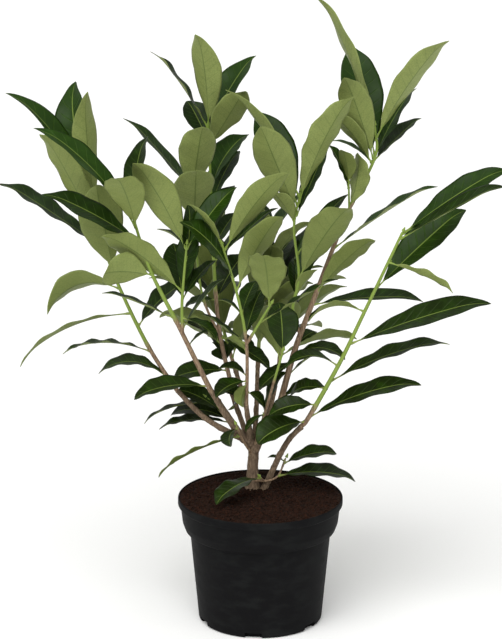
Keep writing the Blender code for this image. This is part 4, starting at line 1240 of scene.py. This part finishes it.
def limb_piece(name, plan, skin):
    """Bark of one limb with its cracks, knots and the collar where it leaves the limb below."""
    stem = plan.limbs[name]
    fine = fine_stem(stem, LIMBS[name].runs, BARK_PACE)
    flare = root_flare(stem)
    points = list(fine.points)
    collar = 0.0 if flare else 0.22
    seed = Vector((sum(map(ord, name)) * 0.37, 0, 0))
    across = Vector((0, 1, 0))
    vertices, faces, reach = [], [], 0.0
    rings = len(points)
    if flare:
        points = [points[0] - fine.tangent(0) * ROOT_SINK] + points
    rings = len(points)
    for i, point in enumerate(points):
        if i:
            reach += (point - points[i - 1]).length
        at = max(0, i - 1) if flare else i
        along = Vector((0, 0, 1)) if flare and i == 0 else fine.tangent(at)
        across = (across - across.dot(along) * along).normalized()
        other = along.cross(across)
        radius = fine.radii[at] * (1 + flare * math.exp(-reach / ROOT_FLARE_HEIGHT))
        ring = (reach / SCAR_PACE + seed.x) % 1.0
        radius += SCAR_DEPTH * math.exp(-((ring - 0.5) / 0.05) ** 2)
        radius *= 1 + collar * math.exp(-reach / 0.012)
        for k in range(BARK_SIDES):
            angle = 2 * math.pi * k / BARK_SIDES
            out = across * math.cos(angle) + other * math.sin(angle)
            spot = Vector((math.cos(angle) * 2.2, math.sin(angle) * 2.2, reach * 120)) + seed
            crack = noise.noise(spot) * 0.00032
            knot = max(0.0, noise.noise(Vector((out.x * 1.1, out.y * 1.1, reach * 55)) + seed) - 0.25)
            vertices.append(point + out * (radius + crack + knot * 0.0022))
    for i in range(rings - 1):
        for k in range(BARK_SIDES):
            j = (k + 1) % BARK_SIDES
            low, high = i * BARK_SIDES, (i + 1) * BARK_SIDES
            faces.append((low + k, low + j, high + j, high + k))
    faces.append(tuple(reversed(range(BARK_SIDES))))
    faces.append(tuple(range((rings - 1) * BARK_SIDES, rings * BARK_SIDES)))
    mesh = bpy.data.meshes.new("bark_" + name)
    mesh.from_pydata([tuple(v) for v in vertices], [], faces)
    mesh.materials.append(skin)
    mesh.shade_smooth()
    return dress(placed("bark_" + name, mesh), "bark", name)


def rounded(profile, reach, steps=4):
    """Profile whose corners, but for its ends, are cut round."""
    made = [profile[0]]
    for before, corner, after in zip(profile, profile[1:], profile[2:]):
        a, b, c = Vector((*before, 0)), Vector((*corner, 0)), Vector((*after, 0))
        back = (a - b) * min(0.45, reach / max((a - b).length, 1e-9))
        on = (c - b) * min(0.45, reach / max((c - b).length, 1e-9))
        for i in range(steps + 1):
            t = i / steps
            spot = (b + back) * (1 - t) ** 2 + b * (2 * t * (1 - t)) + (b + on) * t ** 2
            made.append((spot.x, spot.y))
    made.append(profile[-1])
    return made


def turned_mesh(name, profile, sides, lift=None):
    """Closed mesh turned round Z from a profile that starts and ends on the axis, bottom up."""
    ring = [(math.cos(2 * math.pi * i / sides), math.sin(2 * math.pi * i / sides))
            for i in range(sides)]
    inner = profile[1:-1]
    vertices = [Vector((0, 0, profile[0][1]))]
    vertices += [Vector((r * c, r * s, z)) for r, z in inner for c, s in ring]
    vertices.append(Vector((0, 0, profile[-1][1])))
    if lift:
        vertices = [lift(v) for v in vertices]
    last = len(vertices) - 1
    top = 1 + (len(inner) - 1) * sides
    faces = []
    for i in range(sides):
        j = (i + 1) % sides
        faces.append((0, 1 + j, 1 + i))
        faces.append((top + i, top + j, last))
        for k in range(len(inner) - 1):
            low, high = 1 + k * sides, 1 + (k + 1) * sides
            faces.append((low + i, low + j, high + j, high + i))
    mesh = bpy.data.meshes.new(name)
    mesh.from_pydata([tuple(v) for v in vertices], [], faces)
    mesh.shade_smooth()
    mesh.set_sharp_from_angle(angle=math.radians(40))
    return mesh


def nursery_pot(skin):
    """Pot with a flared lip, a deep collar over its step, and drainage notches at its foot."""
    outer = [(POT_BASE_RADIUS - POT_CORNER, 0.0), (POT_BASE_RADIUS, POT_CORNER),
             (POT_BASE_RADIUS + NOTCH_RING_OUT, NOTCH_HEIGHT + NOTCH_RING_RISE),
             (POT_STEP_RADIUS, POT_STEP),
             (POT_COLLAR_FOOT_RADIUS - POT_STEP_LEDGE, POT_STEP + POT_STEP_RISE),
             (POT_COLLAR_FOOT_RADIUS, POT_COLLAR_FOOT), (POT_COLLAR_RADIUS, POT_LIP_HEIGHT),
             (POT_RIM_RADIUS, POT_LIP_HEIGHT + POT_LIP_ROUND),
             (POT_RIM_RADIUS, POT_HEIGHT - POT_LIP_EDGE),
             (POT_RIM_RADIUS - POT_LIP_EDGE, POT_HEIGHT)]
    inner = [(POT_RIM_RADIUS - POT_LIP_WALL, POT_HEIGHT),
             (POT_RIM_RADIUS - POT_LIP_WALL, POT_LIP_HEIGHT + POT_LIP_FLARE),
             (POT_COLLAR_RADIUS - POT_WALL, POT_LIP_HEIGHT),
             (POT_COLLAR_FOOT_RADIUS - POT_WALL, POT_COLLAR_FOOT),
             (POT_STEP_RADIUS - POT_WALL, POT_STEP + POT_STEP_LEDGE),
             (POT_BASE_RADIUS - POT_WALL, POT_FLOOR + POT_CORNER),
             (POT_BASE_RADIUS - POT_CORNER - POT_WALL, POT_FLOOR)]
    profile = rounded([(0.0, 0.0)] + outer + inner + [(0.0, POT_FLOOR)], 0.0014)
    mesh = turned_mesh("nursery_pot", profile, 144)
    mesh.materials.append(skin)
    pot = placed("nursery_pot", mesh)
    boxes, faces = [], []
    for i in range(NOTCHES):
        angle = NOTCH_TURN + 2 * math.pi * i / NOTCHES
        out = Vector((math.cos(angle), math.sin(angle), 0))
        side = Vector((-out.y, out.x, 0))
        near, far = POT_BASE_RADIUS - NOTCH_DEPTH, POT_BASE_RADIUS + NOTCH_OVERRUN
        base = len(boxes)
        boxes += [out * r + side * (s * NOTCH_WIDTH / 2) + Vector((0, 0, z))
                  for z in (-NOTCH_UNDERCUT, NOTCH_HEIGHT) for s in (-1, 1) for r in (near, far)]
        faces += [tuple(base + k for k in f) for f in
                  ((0, 2, 3, 1), (4, 5, 7, 6), (0, 1, 5, 4), (2, 6, 7, 3), (0, 4, 6, 2),
                   (1, 3, 7, 5))]
    cutter_mesh = bpy.data.meshes.new("notches")
    cutter_mesh.from_pydata([tuple(v) for v in boxes], [], faces)
    cutter = placed("notches", cutter_mesh)
    cut = pot.modifiers.new("notches", "BOOLEAN")
    cut.operation = "DIFFERENCE"
    cut.solver = "EXACT"
    cut.object = cutter
    plain_mesh(pot)
    bpy.data.objects.remove(cutter, do_unlink=True)
    return dress(pot, "pot_plastic", "pot")


def peat_height(x, y):
    """Top of the peat: a low mound with the hollows and lumps that watering leaves."""
    reach = math.hypot(x, y)
    edge = PEAT_RADIUS
    mound = smooth_step(edge - reach, 0.0, edge - SOIL_FLAT_RADIUS)
    height = SOIL_EDGE + (SOIL_LEVEL - SOIL_EDGE) * mound
    spot = Vector((x, y, 0))
    lumps = noise.noise(spot * 45) * 0.0026 + noise.noise(spot * 150) * 0.0014
    lumps += noise.noise(spot * 330) * 0.0008
    fade = 1 - smooth_step(reach, edge - 0.012, edge)
    return height + (lumps - 0.0004) * (0.4 + 0.6 * fade)


def peat_pieces(trees, skin):
    """Peat that fills the pot, with crumbs, lumps and fibres strewn on it."""
    slack = POT_WALL + GAP
    snug = slack + 0.0002
    floor = POT_FLOOR + GAP
    wall = [(POT_BASE_RADIUS - POT_CORNER - slack, floor),
            (POT_BASE_RADIUS - slack, POT_CORNER + floor),
            (POT_STEP_RADIUS - snug, POT_STEP + POT_STEP_LEDGE),
            (POT_COLLAR_FOOT_RADIUS - snug, POT_COLLAR_FOOT),
            (POT_COLLAR_RADIUS - snug, POT_LIP_HEIGHT - 0.0005),
            (PEAT_RADIUS, POT_LIP_HEIGHT + POT_LIP_FLARE + GAP)]
    edge = PEAT_RADIUS
    top = [(edge * (1 - k / 60), SOIL_EDGE) for k in range(60)]
    profile = [(0.0, floor)] + wall + top + [(0.0, SOIL_EDGE)]

    def lift(v):
        if v.z < SOIL_EDGE - MM:
            return v
        return Vector((v.x, v.y, peat_height(v.x, v.y)))

    mesh = turned_mesh("peat", profile, 150, lift)
    mesh.materials.append(skin)
    dress(placed("peat", mesh), "peat", "soil")
    cells = 44
    side = 2 * edge / cells
    points, faces, place = [], [], {}
    for i in range(cells):
        for j in range(cells):
            corners = [(-edge + (i + a) * side, -edge + (j + b) * side)
                       for a, b in ((0, 0), (1, 0), (1, 1), (0, 1))]
            if max(math.hypot(*c) for c in corners) > edge - 0.0005:
                continue
            face = []
            for c in corners:
                key = (round(c[0], 6), round(c[1], 6))
                if key not in place:
                    place[key] = len(points)
                    points.append((*c, peat_height(*c)))
                face.append(place[key])
            faces.append(face)

    def bed(name):
        made = bpy.data.meshes.new(name)
        made.from_pydata(points, [], faces)
        return made

    crumbs = grow("peat_crumbs", bed("peat_crumbs"), trees["crumb"], Density=105000.0,
                  Smallest=0.0005, Largest=0.0034, Seed=5, Skin=skin)
    dress(crumbs, "peat", "soil")
    fibres = grow("peat_fibres", bed("peat_fibres"), trees["fibre"], Density=3500.0,
                  Length=0.008, Seed=9, Skin=skin)
    dress(fibres, "peat", "soil")


def soft_light(name, place, spread, strength):
    """Even light as from a broad far soft box: its place as seen from the plant, and its spread."""
    lamp = bpy.data.lights.new(name, "SUN")
    lamp.angle = math.radians(spread)
    lamp.energy = strength
    item = placed(name, lamp)
    item.location = place
    item.rotation_euler = (-Vector(place)).to_track_quat("-Z", "Y").to_euler()


def studio():
    """White floor, soft light from all round with a key from the upper left, and the camera."""
    half = 14.0
    mesh = bpy.data.meshes.new("floor")
    mesh.from_pydata([(-half, -half, 0), (half, -half, 0), (half, half, 0), (-half, half, 0)],
                     [], [(0, 1, 2, 3)])
    mesh.materials.append(floor_paper())
    placed("floor", mesh)
    world = bpy.data.worlds.new("studio")
    world.use_nodes = True
    back = world.node_tree.nodes["Background"]
    back.inputs["Color"].default_value = (1.0, 1.0, 1.0, 1.0)
    back.inputs["Strength"].default_value = 0.50
    bpy.context.scene.world = world
    soft_light("key", (-1.1, -2.4, 3.0), 55.0, 2.5)
    soft_light("fill", (2.2, -2.6, 2.0), 60.0, 0.7)
    bpy.context.scene.view_settings.view_transform = "Standard"
    lens = bpy.data.cameras.new("camera")
    lens.lens = 152.3
    lens.sensor_width = 36.0
    lens.clip_end = 60.0
    camera = placed("camera", lens)
    camera.location = (-0.0128, -3.5, 1.414)
    camera.rotation_euler = (math.radians(90 - 15.75), 0.0, 0.0)
    bpy.context.scene.camera = camera


def main():
    plan = Plan()
    trees = {"twig": twig_tree(), "bud": bud_tree(), "crumb": crumb_tree(),
             "fibre": fibre_tree()}
    skins = {"blade": (leaf_upper(), leaf_under()), "shoot": shoot_skin(), "bark": laurel_bark()}
    for number, name in enumerate(plan.stems):
        mass_pieces(name, number, plan, trees, skins)
    for name in LIMBS:
        limb_piece(name, plan, skins["bark"])
    nursery_pot(pot_plastic())
    peat_pieces(trees, damp_peat())
    studio()


main()
